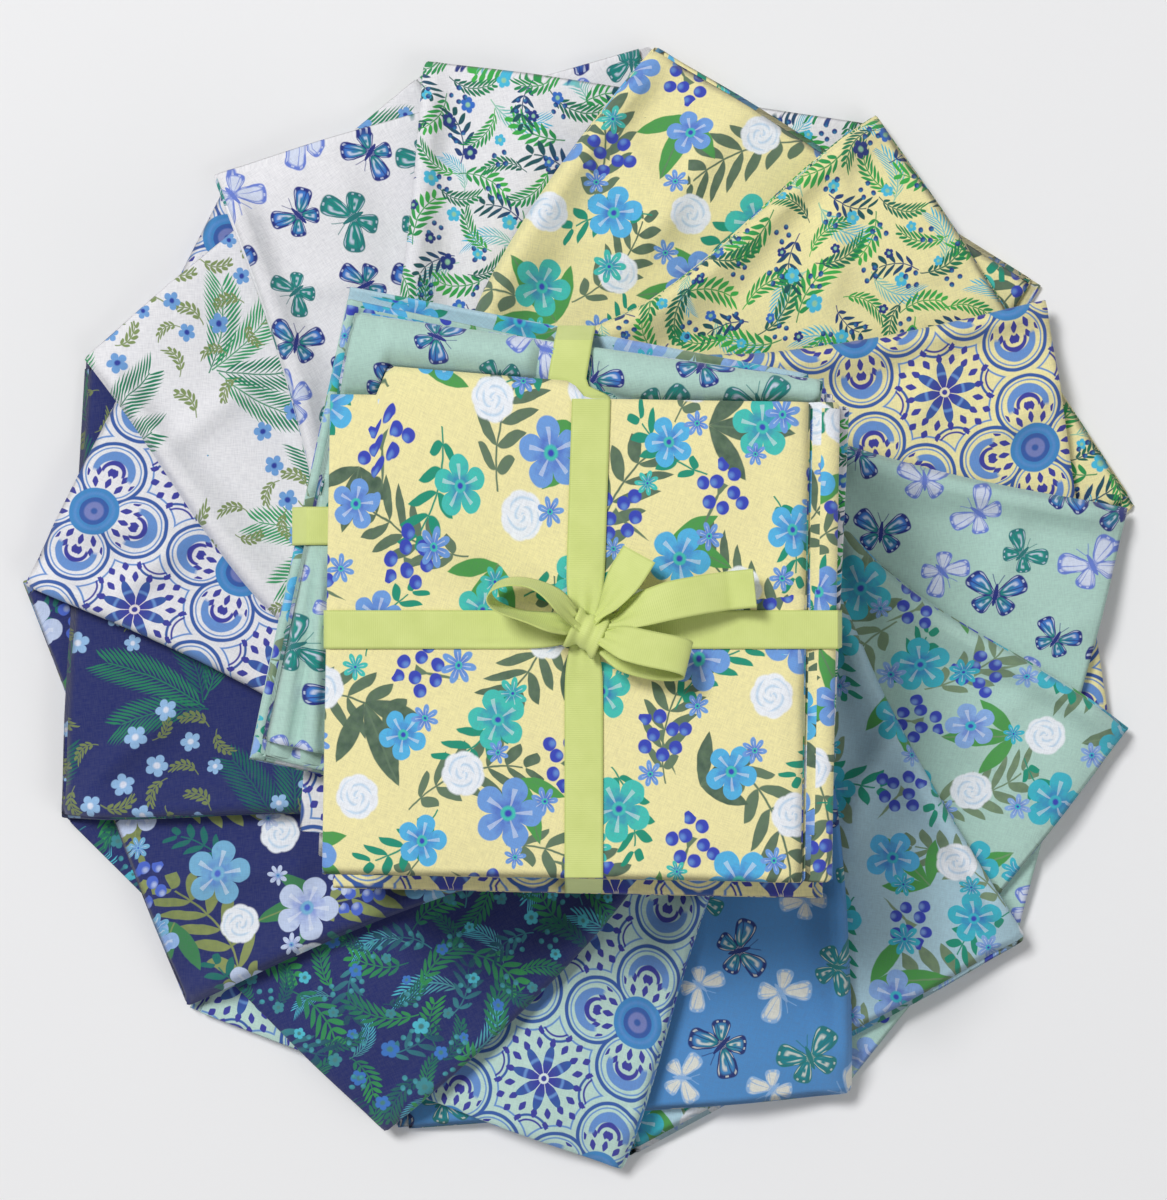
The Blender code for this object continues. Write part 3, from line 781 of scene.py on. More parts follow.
@dataclass(frozen=True)
class Ferns(Print):
    """Fans of fern fronds with garlands of small flowers."""

    frond: Colour = ink(20, 130, 90)
    tip: Colour = ink(50, 160, 100)
    flower: Colour = ink(112, 164, 222)
    heart: Colour = ink(40, 60, 160)
    leaf: Colour = ink(130, 150, 90)
    pitch: float = 62.0

    def draw(self, paint: PrintPaint, ground: Any) -> Socket:
        """Draw the fronds, then the garlands.

        Args:
            paint: The material's paint.
            ground: The ground colour.

        Returns:
            The printed colour.
        """
        spot = paint.spots(Scatter(self.pitch, 25.0, (0.0, 0.0), 1.0, 0.12, 160.0, -40.0))
        colour = ground
        for turn, out, tones in ((-58.0, 15.0, (self.frond, self.tip)), (48.0, 16.0, (self.tip, self.frond)),
                                 (-24.0, 19.0, (self.tip, self.tip)), (18.0, 20.0, (self.frond, self.frond))):
            angle = math.radians(turn)
            frond = paint.moved(spot, -out * math.sin(angle), out * math.cos(angle) - 17.0, turn)
            cover, along = paint.sprig(frond, Sprig(1.9 * out, 6.6, 1.9, 1.5, 2.0, 0.34))
            colour = paint.mix(cover, colour, paint.mix(along * 0.5 + 0.5, *tones))
        spot = paint.spots(Scatter(0.2 * self.pitch, 25.0, (0.5, 0.0), 2.0, 0.2, grow=0.3))
        garland = paint.noise(spot.cell, 0.32, 0.0) > 0.48
        cover, along = paint.sprig(spot, Sprig(9.4, 2.3, 1.7, 0.9, 2.0, 0.42))
        colour = paint.mix(cover * garland, colour, self.leaf)
        spot = paint.spots(Scatter(0.2 * self.pitch, 25.0, (0.0, 0.5), 3.0, 0.3, grow=0.4))
        garland = paint.noise(spot.cell, 0.32, 0.0) > 0.48
        edge, radius, _ = paint.petals(spot, 5.0, 3.1, 0.5, 0.5)
        tone = paint.mix(paint.cover(radius - 0.28, 0.08), self.flower, self.heart)
        return paint.mix(paint.cover(edge) * garland * (spot.chance > 0.2), colour, tone)


@dataclass(frozen=True)
class Tiles(Print):
    """Tile pattern in its usual form: four round lobes round a disc, with a star flower between."""

    line: Colour = ink(52, 92, 168)
    dark: Colour = ink(58, 60, 160)
    disc: Colour = ink(64, 138, 200)
    soft: Colour = ink(104, 148, 212)
    lilac: Colour = ink(120, 130, 190)
    light: Colour = ink(222, 226, 240)
    pitch: float = 52.0
    ripple = 0.16

    def draw(self, paint: PrintPaint, ground: Any) -> Socket:
        """Draw one tile, mirrored eight ways about its disc and about its star.

        Args:
            paint: The material's paint.
            ground: The ground colour.

        Returns:
            The printed colour.
        """
        size = 1.0 / self.pitch
        shift = (0.23, 0.41, 0.0)
        lattice = paint.node("Mapping", None, {0: paint.place, 1: shift, 3: (size, size, 1.0)}).outputs[0]
        tile = paint.vector("SUBTRACT", lattice, paint.vector("FLOOR", lattice))
        from_star = paint.vector("ABSOLUTE", paint.vector(
            "MULTIPLY", paint.vector("SUBTRACT", tile, (0.5, 0.5, 0.0)), (self.pitch, self.pitch, 0.0)))
        from_disc = paint.vector("SUBTRACT", (0.5 * self.pitch, 0.5 * self.pitch, 0.0), from_star)
        colour = self.lobes(paint, from_disc, ground)
        return self.star(paint, from_star, colour)

    def marks(self, paint: PrintPaint, radius: Value, angle: Value, at: float, half: float,
              count: float) -> Value:
        """Cover of a ring of small leaf-shaped marks."""
        waves = paint.math("COSINE", angle * count)
        return paint.cover(paint.times_plus(waves, -0.9, abs(radius - at) * (1.0 / half)), 0.1)

    def lobes(self, paint: PrintPaint, from_disc: Socket, ground: Any) -> Socket:
        """Draw the disc and its four lobes.

        Args:
            paint: The material's paint.
            from_disc: Place from the nearest disc's middle, mirrored.
            ground: The ground colour.

        Returns:
            The printed colour.
        """
        x, y = paint.split(from_disc)
        far = paint.math("MAXIMUM", x, y)
        near = paint.math("MINIMUM", x, y)
        side = far - 14.4
        lobe = paint.math("SQRT", paint.times_plus(side, side, near * near))
        radius = paint.length(from_disc)
        colour = paint.rings(ground, lobe, (Ring(12.9, self.soft, 0.3), Ring(10.9, self.line),
                                            Ring(9.7, ground), Ring(8.8, self.soft, 0.24)))
        ring = paint.math("ARCTAN2", near, far)
        inside = lobe < 8.3
        inward = self.marks(paint, radius, ring, 10.4, 2.1, 16.0)
        inward = paint.math("MAXIMUM", inward, self.marks(paint, radius, ring + 0.2, 14.2, 1.7, 24.0))
        colour = paint.mix(inward * inside, colour, self.dark)
        angle = paint.math("ARCTAN2", near, side)
        outward = paint.cover(angle - 1.75, 0.1)
        thick = paint.times_plus(angle, -0.5, 1.8)
        colour = paint.mix(paint.cover(abs(lobe - 5.9) - thick) * outward, colour, self.soft)
        colour = paint.mix(paint.cover(abs(lobe - 3.5) - thick * 0.5) * outward, colour, self.dark)
        colour = paint.rings(colour, lobe, (Ring(1.3, self.dark),))
        return paint.rings(colour, radius, (
            Ring(8.2, self.disc), Ring(6.2, self.soft, 0.5, 0.4, 0.5), Ring(4.8, self.line),
            Ring(3.2, self.lilac, soft=0.3), Ring(1.1, self.line, soft=0.3)))

    def star(self, paint: PrintPaint, from_star: Socket, colour: Any) -> Socket:
        """Draw the star flower between four discs, in its frame.

        Args:
            paint: The material's paint.
            from_star: Place from the nearest star's middle, mirrored.
            colour: The colour under it.

        Returns:
            The printed colour.
        """
        x, y = paint.split(from_star)
        radius = paint.length(from_star)
        angle = paint.math("ARCTAN2", y, x)
        frame_x = paint.math("MAXIMUM", x, y) - 19.5
        frame_y = paint.math("MINIMUM", x, y)
        arc = paint.math("SQRT", paint.times_plus(frame_x, frame_x, frame_y * frame_y))
        outside = (radius < 16.4) * (frame_x > -8.4)
        colour = paint.rings(colour, arc, (Ring(7.0, self.line, 0.42, share=outside),
                                           Ring(5.4, self.dark, 0.32, share=outside)))
        buds = paint.math("MAXIMUM", self.marks(paint, radius, angle + math.pi / 8.0, 11.4, 2.0, 16.0),
                          self.marks(paint, radius, angle, 15.4, 1.6, 20.0) * (arc > 6.2))
        colour = paint.mix(buds, colour, self.dark)
        lobes = abs(paint.math("COSINE", angle * 4.0))
        edge = paint.times_plus(lobes ** 1.6, -6.6, radius) - 4.0
        petal = paint.mix(paint.times_plus(radius, -0.14, 1.3), self.line, self.dark)
        petal = paint.rings(petal, radius, (Ring(6.4, self.soft, 0.5, 0.3),))
        petal = paint.mix(paint.cover(lobes - 0.16, 0.1), petal, self.light)
        colour = paint.mix(paint.cover(edge), colour, petal)
        return paint.rings(colour, radius, (Ring(1.7, self.light), Ring(0.9, self.dark)))


# ---- finishes


@dataclass(frozen=True)
class Cotton:
    """A printed quilting cotton: its ground colour and its design."""

    name: str
    ground: Colour
    design: Print

    @property
    def slot(self) -> str:
        """Name of its material slot in the record."""
        return "cotton_" + self.name

    @cache
    def material(self) -> bpy.types.Material:
        """Its material, made once.

        Returns:
            The print over threads that run both ways.
        """
        paint = PrintPaint("printed_" + self.name, self.design.ripple)
        warp = paint.node("Mapping", None, {0: paint.place, 3: (3.0, 0.35, 1.0)}).outputs[0]
        weft = paint.node("Mapping", None, {0: paint.place, 3: (0.35, 3.0, 1.0)}).outputs[0]
        weave = (paint.noise(warp, 1.0, 0.0) + paint.noise(weft, 1.0, 0.0)) * 0.5
        printed = self.design.draw(paint, self.ground)
        threads = paint.math("MULTIPLY_ADD", weave, 0.36, -0.10, clamp=True)
        colour = paint.mix(threads, printed, ink(96, 100, 120))
        paint.dress(colour, weave, 0.85, 0.00012)
        return paint.material


@dataclass(frozen=True)
class RibbonFinish:
    """Lime ribbon with fine ribs across it."""

    lime: Colour = ink(216, 226, 144)
    deep: Colour = ink(186, 200, 108)
    width: float = 11.5

    @cache
    def material(self) -> bpy.types.Material:
        """Its material, made once.

        Returns:
            Ribs across the ribbon between hems. The cloth's x runs along the ribbon.
        """
        paint = Paint("lime_ribbon_finish")
        place = paint.cloth(0.0)
        x, y = paint.split(place)
        ribs = paint.math("SINE", x * (math.tau / 0.62)) * 0.5 + 0.5
        tone = paint.noise(place, 0.12)
        colour = paint.mix(tone * 0.5, self.lime, self.deep)
        colour = paint.mix(ribs * 0.16, colour, self.deep)
        hem = paint.cover(0.46 * self.width - abs(y), 0.2)
        colour = paint.mix(hem * 0.35, colour, self.deep)
        paint.dress(colour, ribs, 0.55, 0.00008)
        return paint.material


WHITE = ink(238, 237, 240)
YELLOW = ink(244, 234, 172)
SAGE = ink(178, 212, 200)
AQUA = ink(178, 211, 224)
BLUE = ink(78, 140, 200)
NAVY = ink(32, 42, 104)
MINT = ink(192, 222, 212)

NIGHT_FOLIAGE = Foliage(faint=ink(70, 130, 130), light=ink(50, 150, 80), leaf=ink(25, 110, 90),
                        dark=ink(20, 75, 95), blue=ink(60, 120, 200), night=ink(60, 140, 150),
                        sky=ink(80, 190, 210))
NIGHT_FLORAL = Floral(leaf=ink(144, 156, 92), shade=ink(92, 110, 62), green=ink(60, 130, 80),
                      emerald=ink(20, 110, 100), blue=ink(196, 210, 238), sky=ink(150, 185, 232),
                      royal=ink(74, 104, 204), turquoise=ink(120, 180, 216))
NIGHT_FERNS = Ferns(frond=ink(12, 100, 90), tip=ink(30, 130, 90), flower=ink(150, 190, 230),
                    heart=ink(225, 230, 245), leaf=ink(120, 135, 80))
BLUE_BUTTERFLIES = Butterflies(dark=ink(26, 46, 110), bright=ink(60, 130, 190), deep=ink(20, 130, 140),
                               pale=ink(225, 225, 215), faint=ink(140, 180, 225))
COOL_FLORAL = Floral(leaf=ink(128, 152, 118), shade=ink(84, 112, 84), blue=ink(140, 178, 232),
                     turquoise=ink(60, 186, 206))

COTTONS = {cotton.name: cotton for cotton in (
    Cotton("white_foliage", WHITE, Foliage()),
    Cotton("yellow_floral", YELLOW, Floral()),
    Cotton("yellow_foliage", YELLOW, Foliage()),
    Cotton("yellow_tile", YELLOW, Tiles(light=ink(246, 238, 200))),
    Cotton("sage_butterfly", SAGE, Butterflies()),
    Cotton("sage_floral", SAGE, COOL_FLORAL),
    Cotton("aqua_floral", AQUA, COOL_FLORAL),
    Cotton("blue_butterfly", BLUE, BLUE_BUTTERFLIES),
    Cotton("mint_tile", MINT, Tiles(light=ink(226, 236, 236))),
    Cotton("navy_foliage", NAVY, NIGHT_FOLIAGE),
    Cotton("navy_floral", NAVY, NIGHT_FLORAL),
    Cotton("navy_fern", NAVY, NIGHT_FERNS),
    Cotton("white_tile", WHITE, Tiles(light=ink(242, 232, 232))),
    Cotton("white_fern", WHITE, Ferns()),
    Cotton("white_butterfly", WHITE, Butterflies()),
)}


class Held(Enum):
    """How a cloth is held, in the frame's words."""

    FOLDED = "folded"
    STRETCHED = "stretched"
    GATHERED = "gathered"


# ---- folded cloth


@dataclass
class SheetPiece:
    """A finished sheet, shaped from a grid. It stands for a node of the frame."""

    node: str
    kind: str
    material: bpy.types.Material
    slot: str
    held: Held
    flat: tuple[float, float]
    wall: float
    closed: bool = False
    join_reach: float = 0.01 * MM

    def mesh(self, columns: int, places: Sequence[Vector],
             spots: Sequence[tuple[float, float]]) -> bpy.types.Mesh:
        """Shape the sheet's mesh.

        Args:
            columns: Vertices in a row of the grid.
            places: Place of each vertex in the bundle, row by row.
            spots: Its place on the flat cloth in metres.

        Returns:
            The mesh, with its place on the cloth as a UV map.
        """
        cloth = bmesh.new()
        bmesh.ops.create_grid(cloth, x_segments=columns - 1, y_segments=len(places) // columns - 1, size=0.5)
        flat = cloth.loops.layers.uv.new("cloth")
        for vert, place in zip(cloth.verts, places):
            vert.co = place
        cloth.verts.index_update()
        for face in cloth.faces:
            for loop in face.loops:
                loop[flat].uv = spots[loop.vert.index]
        if self.closed:
            bmesh.ops.remove_doubles(cloth, verts=cloth.verts, dist=self.join_reach)
        mesh = bpy.data.meshes.new(self.node)
        cloth.to_mesh(mesh)
        cloth.free()
        mesh.shade_smooth()
        mesh.materials.append(self.material)
        return mesh

    def build(self, columns: int, places: Sequence[Vector], spots: Sequence[tuple[float, float]],
              rests_on: Sequence[str]) -> bpy.types.Object:
        """Make the sheet.

        Args:
            columns: Vertices in a row of the grid.
            places: Place of each vertex in the bundle, row by row.
            spots: Its place on the flat cloth in metres.
            rests_on: The nodes that it lies on. Not used.

        Returns:
            The finished piece.
        """
        piece = added(f"{self.node}_{self.kind}", self.mesh(columns, places, spots))
        thickness = piece.modifiers.new("thickness", "SOLIDIFY")
        thickness.thickness = self.wall
        thickness.offset = 0.0
        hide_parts(self.node)
        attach(piece, "root")
        self.slot
        list(rests_on)
        return piece


@dataclass(frozen=True)
class Station:
    """A column of a folded sheet: its place on the flat cloth, its section and its outward normal."""

    cloth: float
    across: float
    up: float
    normal_across: float
    normal_up: float
    layer: float


@dataclass(frozen=True)
class Row:
    """A row of a folded sheet: its place on the flat cloth and along the packet, and its ply."""

    cloth: float
    along: float
    offset: float
    ply: float


Place = Callable[[float, float, float, float, float], Vector]

# Layers and plies are counted from 0, and a bend is a fraction on the way to the next one.
TOP_PLY = 2.9
TOP_LAYER = 1.9
LOWEST_BEND = 0.4


def slip(ply: float, layer: float, index: int) -> float:
    """An uneven number from -1 to 1, for how far a ply has slipped along its packet."""
    return math.sin(2.3 * ply + 1.9 * layer + 1.3 * index)


def side_slip(ply: float, layer: float, seed: float) -> float:
    """An uneven number from -1 to 1, for how far a ply has slipped across its packet."""
    return math.sin(1.7 * ply + 2.9 * layer + seed)


@dataclass
class FoldedQuarter:
    """One fat quarter: a sheet folded in four along its length, then in three across its width."""

    node: str
    cotton: Cotton
    half_width: float
    start: float
    end: float
    layer_gap: float
    bottom_short: float
    top_short: float
    seen_step: float = 2.6 * MM
    hidden_step: float = 15.0 * MM
    turn: float = 0.0
    shift: tuple[float, float] = (0.0, 0.0)
    width: float = 457.0 * MM
    length: float = 559.0 * MM
    ply: float = 0.2 * MM
    ply_pitch: float = 0.27 * MM
    layer: float = 1.0 * MM
    layers: int = 3
    plies: int = 4
    hidden_bends: int = 4
    seen_bends: int = 8
    strip_from: float = 6.0 * MM
    strip_steps: int = 6
    strip_reach: float = 1.3

    def columns(self) -> list[Station]:
        """The section across the packet.

        Returns:
            Its stations, from the bottom layer's free end to the top layer's.
        """
        pitch = self.layer + self.layer_gap
        bend = pitch / 2.0
        inside = self.half_width - bend - self.layer / 2.0
        found = []
        for layer in range(self.layers):
            way = 1.0 if layer % 2 == 0 else -1.0
            height = self.layer / 2.0 + layer * pitch
            top = layer == self.layers - 1
            first = -inside + (self.bottom_short if layer == 0 else 0.0)
            last = inside - (self.top_short if top else 0.0)
            steps = max(2, math.ceil((last - first) / (self.seen_step if top else self.hidden_step)))
            places = [first + (last - first) * step / steps for step in range(steps + 1)]
            if layer == self.layers - 2 and self.top_short > self.strip_from:
                strip_end = first + self.strip_reach * self.top_short
                strip = [first + self.top_short * part / self.strip_steps
                         for part in range(self.strip_steps + 2)]
                places = strip + [place for place in places if place > strip_end]
            found += [(way * place, height, 0.0, way, float(layer)) for place in places]
            if not top:
                bends = self.hidden_bends if layer == 0 else self.seen_bends
                for step in range(1, bends):
                    angle = math.pi * step / bends
                    found.append((way * (inside + bend * math.sin(angle)),
                                  height + bend - bend * math.cos(angle),
                                  -math.sin(angle), math.cos(angle) * way, layer + step / bends))
        return self.stations(found)

    def stations(self, points: Sequence[tuple[float, ...]]) -> list[Station]:
        """Spread a section over the flat cloth by the distance along it."""
        gone = gone_along(math.dist(here[:2], following[:2]) for here, following in pairwise(points))
        return [Station(self.width * distance / gone[-1], *point) for distance, point in zip(gone, points)]

    def rows(self) -> list[Row]:
        """The plies along the packet, folded at its ends.

        Returns:
            The rows, from the lowest ply to the top one, which is joined at the packet's end.
        """
        found = []
        for ply in range(self.plies):
            offset = (ply - (self.plies - 1) / 2.0) * self.ply_pitch
            last = ply == self.plies - 1
            apart = self.seen_step if last else self.hidden_step
            steps = max(2, math.ceil((self.end - self.start) / apart))
            for step in range(steps + 1):
                share = step / steps if ply % 2 == 0 else 1.0 - step / steps
                found.append((self.start + (self.end - self.start) * share, offset, float(ply)))
            if not last:
                end = self.end if ply % 2 == 0 else self.start
                out = self.ply_pitch / 2.0 * (1.0 if ply % 2 == 0 else -1.0)
                found.append((end + out, offset + self.ply_pitch / 2.0, ply + 0.5))
        gone = gone_along(math.dist(here[:2], following[:2]) for here, following in pairwise(found))
        return [Row(self.length * distance / gone[-1], *point) for distance, point in zip(gone, found)]

    def build(self, place: Place, rests_on: Sequence[str]) -> bpy.types.Object:
        """Make the sheet.

        Args:
            place: Carries across, along, up, layer and ply to the bundle.
            rests_on: The nodes that it lies on.

        Returns:
            The finished piece.
        """
        columns = self.columns()
        cosine, sine = math.cos(math.radians(self.turn)), math.sin(math.radians(self.turn))
        places, spots = [], []
        for row in self.rows():
            for column in columns:
                places.append(place(column.across + column.normal_across * row.offset, row.along,
                                    column.up + column.normal_up * row.offset, column.layer, row.ply))
                spots.append((column.cloth * cosine - row.cloth * sine + self.shift[0],
                              column.cloth * sine + row.cloth * cosine + self.shift[1]))
        sheet = SheetPiece(self.node, "cloth", self.cotton.material(), self.cotton.slot, Held.FOLDED,
                           (self.width, self.length), self.ply)
        return sheet.build(len(columns), places, spots, rests_on)


# ---- fan


@dataclass(frozen=True)
class FanPacket:
    """One packet of the fan. reach and bow in mm, turns in degrees, the rest as in the frame."""

    print_name: str
    reach: float
    turn: float
    bow: float
    waves: float
    puff: float
    print_turn: float
    print_right: float
    print_up: float


@dataclass
class Fan:
    """The ring of packets: each clockwise packet lies on the one before it, all the way round."""

    packets: tuple[FanPacket, ...] = (
        #         print name        reach  turn   bow  waves puff print turn, right, up
        FanPacket("white_foliage", 1.6, 0.0, 3.0, 1.0, 1.0, 20.0, 0.0, 0.0),
        FanPacket("yellow_floral", 0.8, -0.3, -6.0, 1.0, 1.2, 200.0, 10.0, 20.0),
        FanPacket("yellow_foliage", 1.8, 0.4, 5.0, 1.5, 1.4, 75.0, 0.0, 30.0),
        FanPacket("yellow_tile", -2.4, 1.2, 4.0, 1.0, 1.0, 2.0, 12.0, 4.0),
        FanPacket("sage_butterfly", -2.2, 0.5, 4.0, 1.0, 1.2, 110.0, 5.0, 0.0),
        FanPacket("sage_floral", -1.6, 0.3, 4.5, 1.5, 1.5, 20.0, 6.0, 9.0),
        FanPacket("aqua_floral", -1.5, -0.8, 3.0, 1.0, 1.0, 140.0, 3.0, 0.0),
        FanPacket("blue_butterfly", -1.5, -0.7, -3.0, 1.0, 1.0, 250.0, 0.0, 12.0),
        FanPacket("mint_tile", 0.8, 0.4, 2.5, 1.5, 1.2, 3.0, 8.0, 16.0),
        FanPacket("navy_foliage", 0.0, 0.4, -4.0, 1.0, 1.4, 160.0, 0.0, 0.0),
        FanPacket("navy_floral", -0.2, 0.7, 3.5, 1.0, 1.4, 70.0, 2.0, 8.0),
        FanPacket("navy_fern", -1.8, 0.9, 3.0, 1.5, 1.2, 10.0, 4.0, 14.0),
        FanPacket("white_tile", -2.6, 0.5, 3.5, 1.0, 1.2, 1.0, 20.0, 11.0),
        FanPacket("white_fern", -1.6, -0.2, -3.5, 1.5, 1.2, 50.0, 7.0, 3.0),
        FanPacket("white_butterfly", 1.4, -0.5, 4.0, 1.0, 1.2, 15.0, 9.0, 9.0),
    )
    radius: float = 183.2 * MM
    inner: float = 26.4 * MM
    first_corner: float = math.radians(-16.2)
    hub: tuple[float, float] = (0.4 * MM, 0.7 * MM)
    packet_height: float = 3.7 * MM
    layer: float = 1.0 * MM
    layer_gap: float = 0.35 * MM
    free_edges: tuple[float, float] = (2.0 * MM, 3.0 * MM)
    piece_gap: float = 0.48 * MM
    ridge_angle: float = math.radians(71.5)
    rim_turn: float = math.radians(0.2) / MM
    hub_ease: float = math.radians(0.0095) / MM ** 2
    hub_gap: float = 1.65 * MM
    hub_gap_radius: float = 10.0 * MM
    even_gap_radius: float = 110.0 * MM
    spare_angle: float = math.radians(1.5)
    flat_angle: float = math.radians(12.5)
    climbed_angle: float = math.radians(22.5)
    droop: float = 4.5 * MM
    droop_reach: float = 15.0 * MM
    droop_bend: float = 1.4
    droop_side: float = 0.6
    ply_slip: float = 1.3 * MM
    slip_back: float = 0.6
    across_slip: float = 0.5
    hidden_follow: float = 0.35
    roll_height: float = 8.0 * MM
    roll_bend: float = 1.3 * MM
    roll_reach: float = 10.5 * MM
    hub_roll: float = 0.7
    hub_roll_from: float = 135.0 * MM
    hub_roll_over: float = 50.0 * MM
    fullness: float = 1.6 * MM
    full_from: float = 12.0 * MM
    full_over: float = 26.0 * MM
    shown_to: float = 0.97
    shown_over: float = 0.35
    stack_middle: tuple[float, float] = (0.6 * MM, -10.5 * MM)
    stack_room: tuple[float, float] = (79.0 * MM, 75.0 * MM)
    stack_ease: float = 10.0 * MM
    end_relief: float = 0.35
    end_reach: float = 16.0 * MM
    crease_height: float = 3.4 * MM
    crease_width: float = 4.8 * MM
    crease_edge: float = 1.6
    crease_sway: float = 4.0 * MM
    crease_wave: float = 24.0 * MM
    crease_turn: float = 0.35
    crease_wander: float = 0.12
    crease_unlike: float = 0.4
    crease_from: float = 12.0 * MM
    # Of each crease: how far to the leading side, how far out, and its lean from the packet's length.
    crease_rows: tuple[tuple[float, float, float], ...] = (
        (0.45, 0.9, 0.25), (0.2, 0.8, -0.5), (0.6, 0.75, 1.2))

    def __post_init__(self) -> None:
        """Work out the packet's plan from the ring's radius."""
        self.step = math.tau / len(self.packets)
        self.half_width = self.radius * math.sin(self.step)
        self.reach = self.radius * math.cos(self.step)
        self.ridge_radius = math.hypot(self.half_width, self.inner)

    def edge_angle(self, radius: float) -> float:
        """Where a packet's ramp starts.

        Args:
            radius: Distance from the hub.

        Returns:
            The angle from the packet's middle line.
        """
        inward = self.radius - radius
        ridge_inward = self.radius - self.ridge_radius
        bend = (self.ridge_angle - self.step - self.rim_turn * ridge_inward) / ridge_inward ** 2
        past_ridge = max(0.0, self.ridge_radius - radius)
        return self.step + self.rim_turn * inward + bend * inward ** 2 - self.hub_ease * past_ridge ** 2

    def rise(self, radius: float) -> float:
        """Height that a packet gains for each radian round the hub."""
        share = smooth((radius - self.hub_gap_radius) / (self.even_gap_radius - self.hub_gap_radius))
        return (self.packet_height + self.piece_gap + self.hub_gap * (1.0 - share)) / self.step

    def seen(self, radius: float, angle: float) -> float:
        """Share of the way from a packet's leading edge to the edge of the packet that covers it."""
        return (angle + math.asin(min(1.0, self.half_width / radius))) / self.step

    def height(self, radius: float, angle: float, up: float, puff: float) -> float:
        """Height on a ramp round the hub, on which each packet clears the one before.

        Args:
            radius: Distance from the hub.
            angle: Angle from the packet's middle line.
            up: Height in the flat packet.
            puff: How far its top layer swells where it shows.

        Returns:
            The height in the bundle.
        """
        turned = self.edge_angle(radius) + self.spare_angle - angle
        rise = self.rise(radius)
        ramp = rise * turned
        layer_share = (up - self.layer / 2.0) / (self.packet_height - self.layer)
        if turned < self.flat_angle:
            sag = ramp
        else:
            climb = (self.climbed_angle - turned) / (self.climbed_angle - self.flat_angle)
            sag = rise * self.flat_angle * max(0.0, climb)
        lift = puff * math.sin(math.pi * clamped(self.seen(radius, angle))) ** 2
        lift *= smooth((radius - self.ridge_radius) / (self.radius - self.ridge_radius))
        return ramp - sag * (1.0 - layer_share) + lift * layer_share + up

    def creases(self, index: int, across: float, along: float) -> float:
        """Height of the soft creases in a packet's top layer.

        Args:
            index: The packet.
            across: Place across the packet, from the middle.
            along: Place along the packet, from the hub.

        Returns:
            The height.
        """
        lift = 0.0
        for number, (aside, out, lean) in enumerate(self.crease_rows):
            # The seed's multiples make the creases of the packets unlike.
            seed = 1.7 * index + 2.3 * number
            turn = lean + self.crease_turn * math.sin(2.9 * seed)
            aside += self.crease_wander * math.sin(5.3 * seed)
            offset = (across + self.half_width * aside) * math.cos(turn)
            offset += (along - self.reach * out) * math.sin(turn)
            offset += self.crease_sway * math.sin(along / self.crease_wave + seed)
            size = 1.0 - self.crease_unlike * (1.0 - math.sin(4.1 * seed))
            lift += self.crease_height * size * math.exp(-abs(offset / self.crease_width) ** self.crease_edge)
        return lift

    def relief(self, index: int, inward: float, across: float, along: float, seen: float,
               x: float, y: float) -> float:
        """How far the top layer stands up where it shows.

        Args:
            index: The packet.
            inward: Distance from the packet's fold at its leading edge.
            across: Place across the packet, from the middle.
            along: Place along the packet, from the hub.
            seen: Share of the way from the leading edge to the next packet's edge.
            x: Place in the bundle.
            y: Place in the bundle.

        Returns:
            The height of its rolled leading edge, its fullness and its creases.
        """
        more = 1.0 + self.hub_roll * smooth((self.hub_roll_from - along) / self.hub_roll_over)
        roll = self.roll_height * (1.0 - math.exp(-(inward / self.roll_bend) ** 2))
        roll *= smooth(1.0 - (inward - self.roll_bend) / (self.roll_reach * more))
        full = self.fullness * smooth((inward - self.full_from) / self.full_over)
        shown = smooth((self.shown_to - seen) / self.shown_over)
        beside_stack = max(abs(x - self.stack_middle[0]) - self.stack_room[0],
                           abs(y - self.stack_middle[1]) - self.stack_room[1])
        shown *= smooth(beside_stack / self.stack_ease)
        end = self.end_relief + (1.0 - self.end_relief) * smooth((self.reach - along) / self.end_reach)
        creases = self.creases(index, across, along) * smooth(inward / self.crease_from)
        return (roll + full + creases) * shown * end

    def packet(self, index: int) -> bpy.types.Object:
        """Build one packet.

        Args:
            index: The packet, clockwise from the first corner.

        Returns:
            The finished piece.
        """
        shape = self.packets[index]
        node = f"fan_{index + 1:02d}_{shape.print_name}"
        middle = self.first_corner + self.step * (index + 1)
        outline_turn = math.radians(shape.turn)
        before_reach = self.reach + (self.packets[index - 1].reach + 1.0) * MM

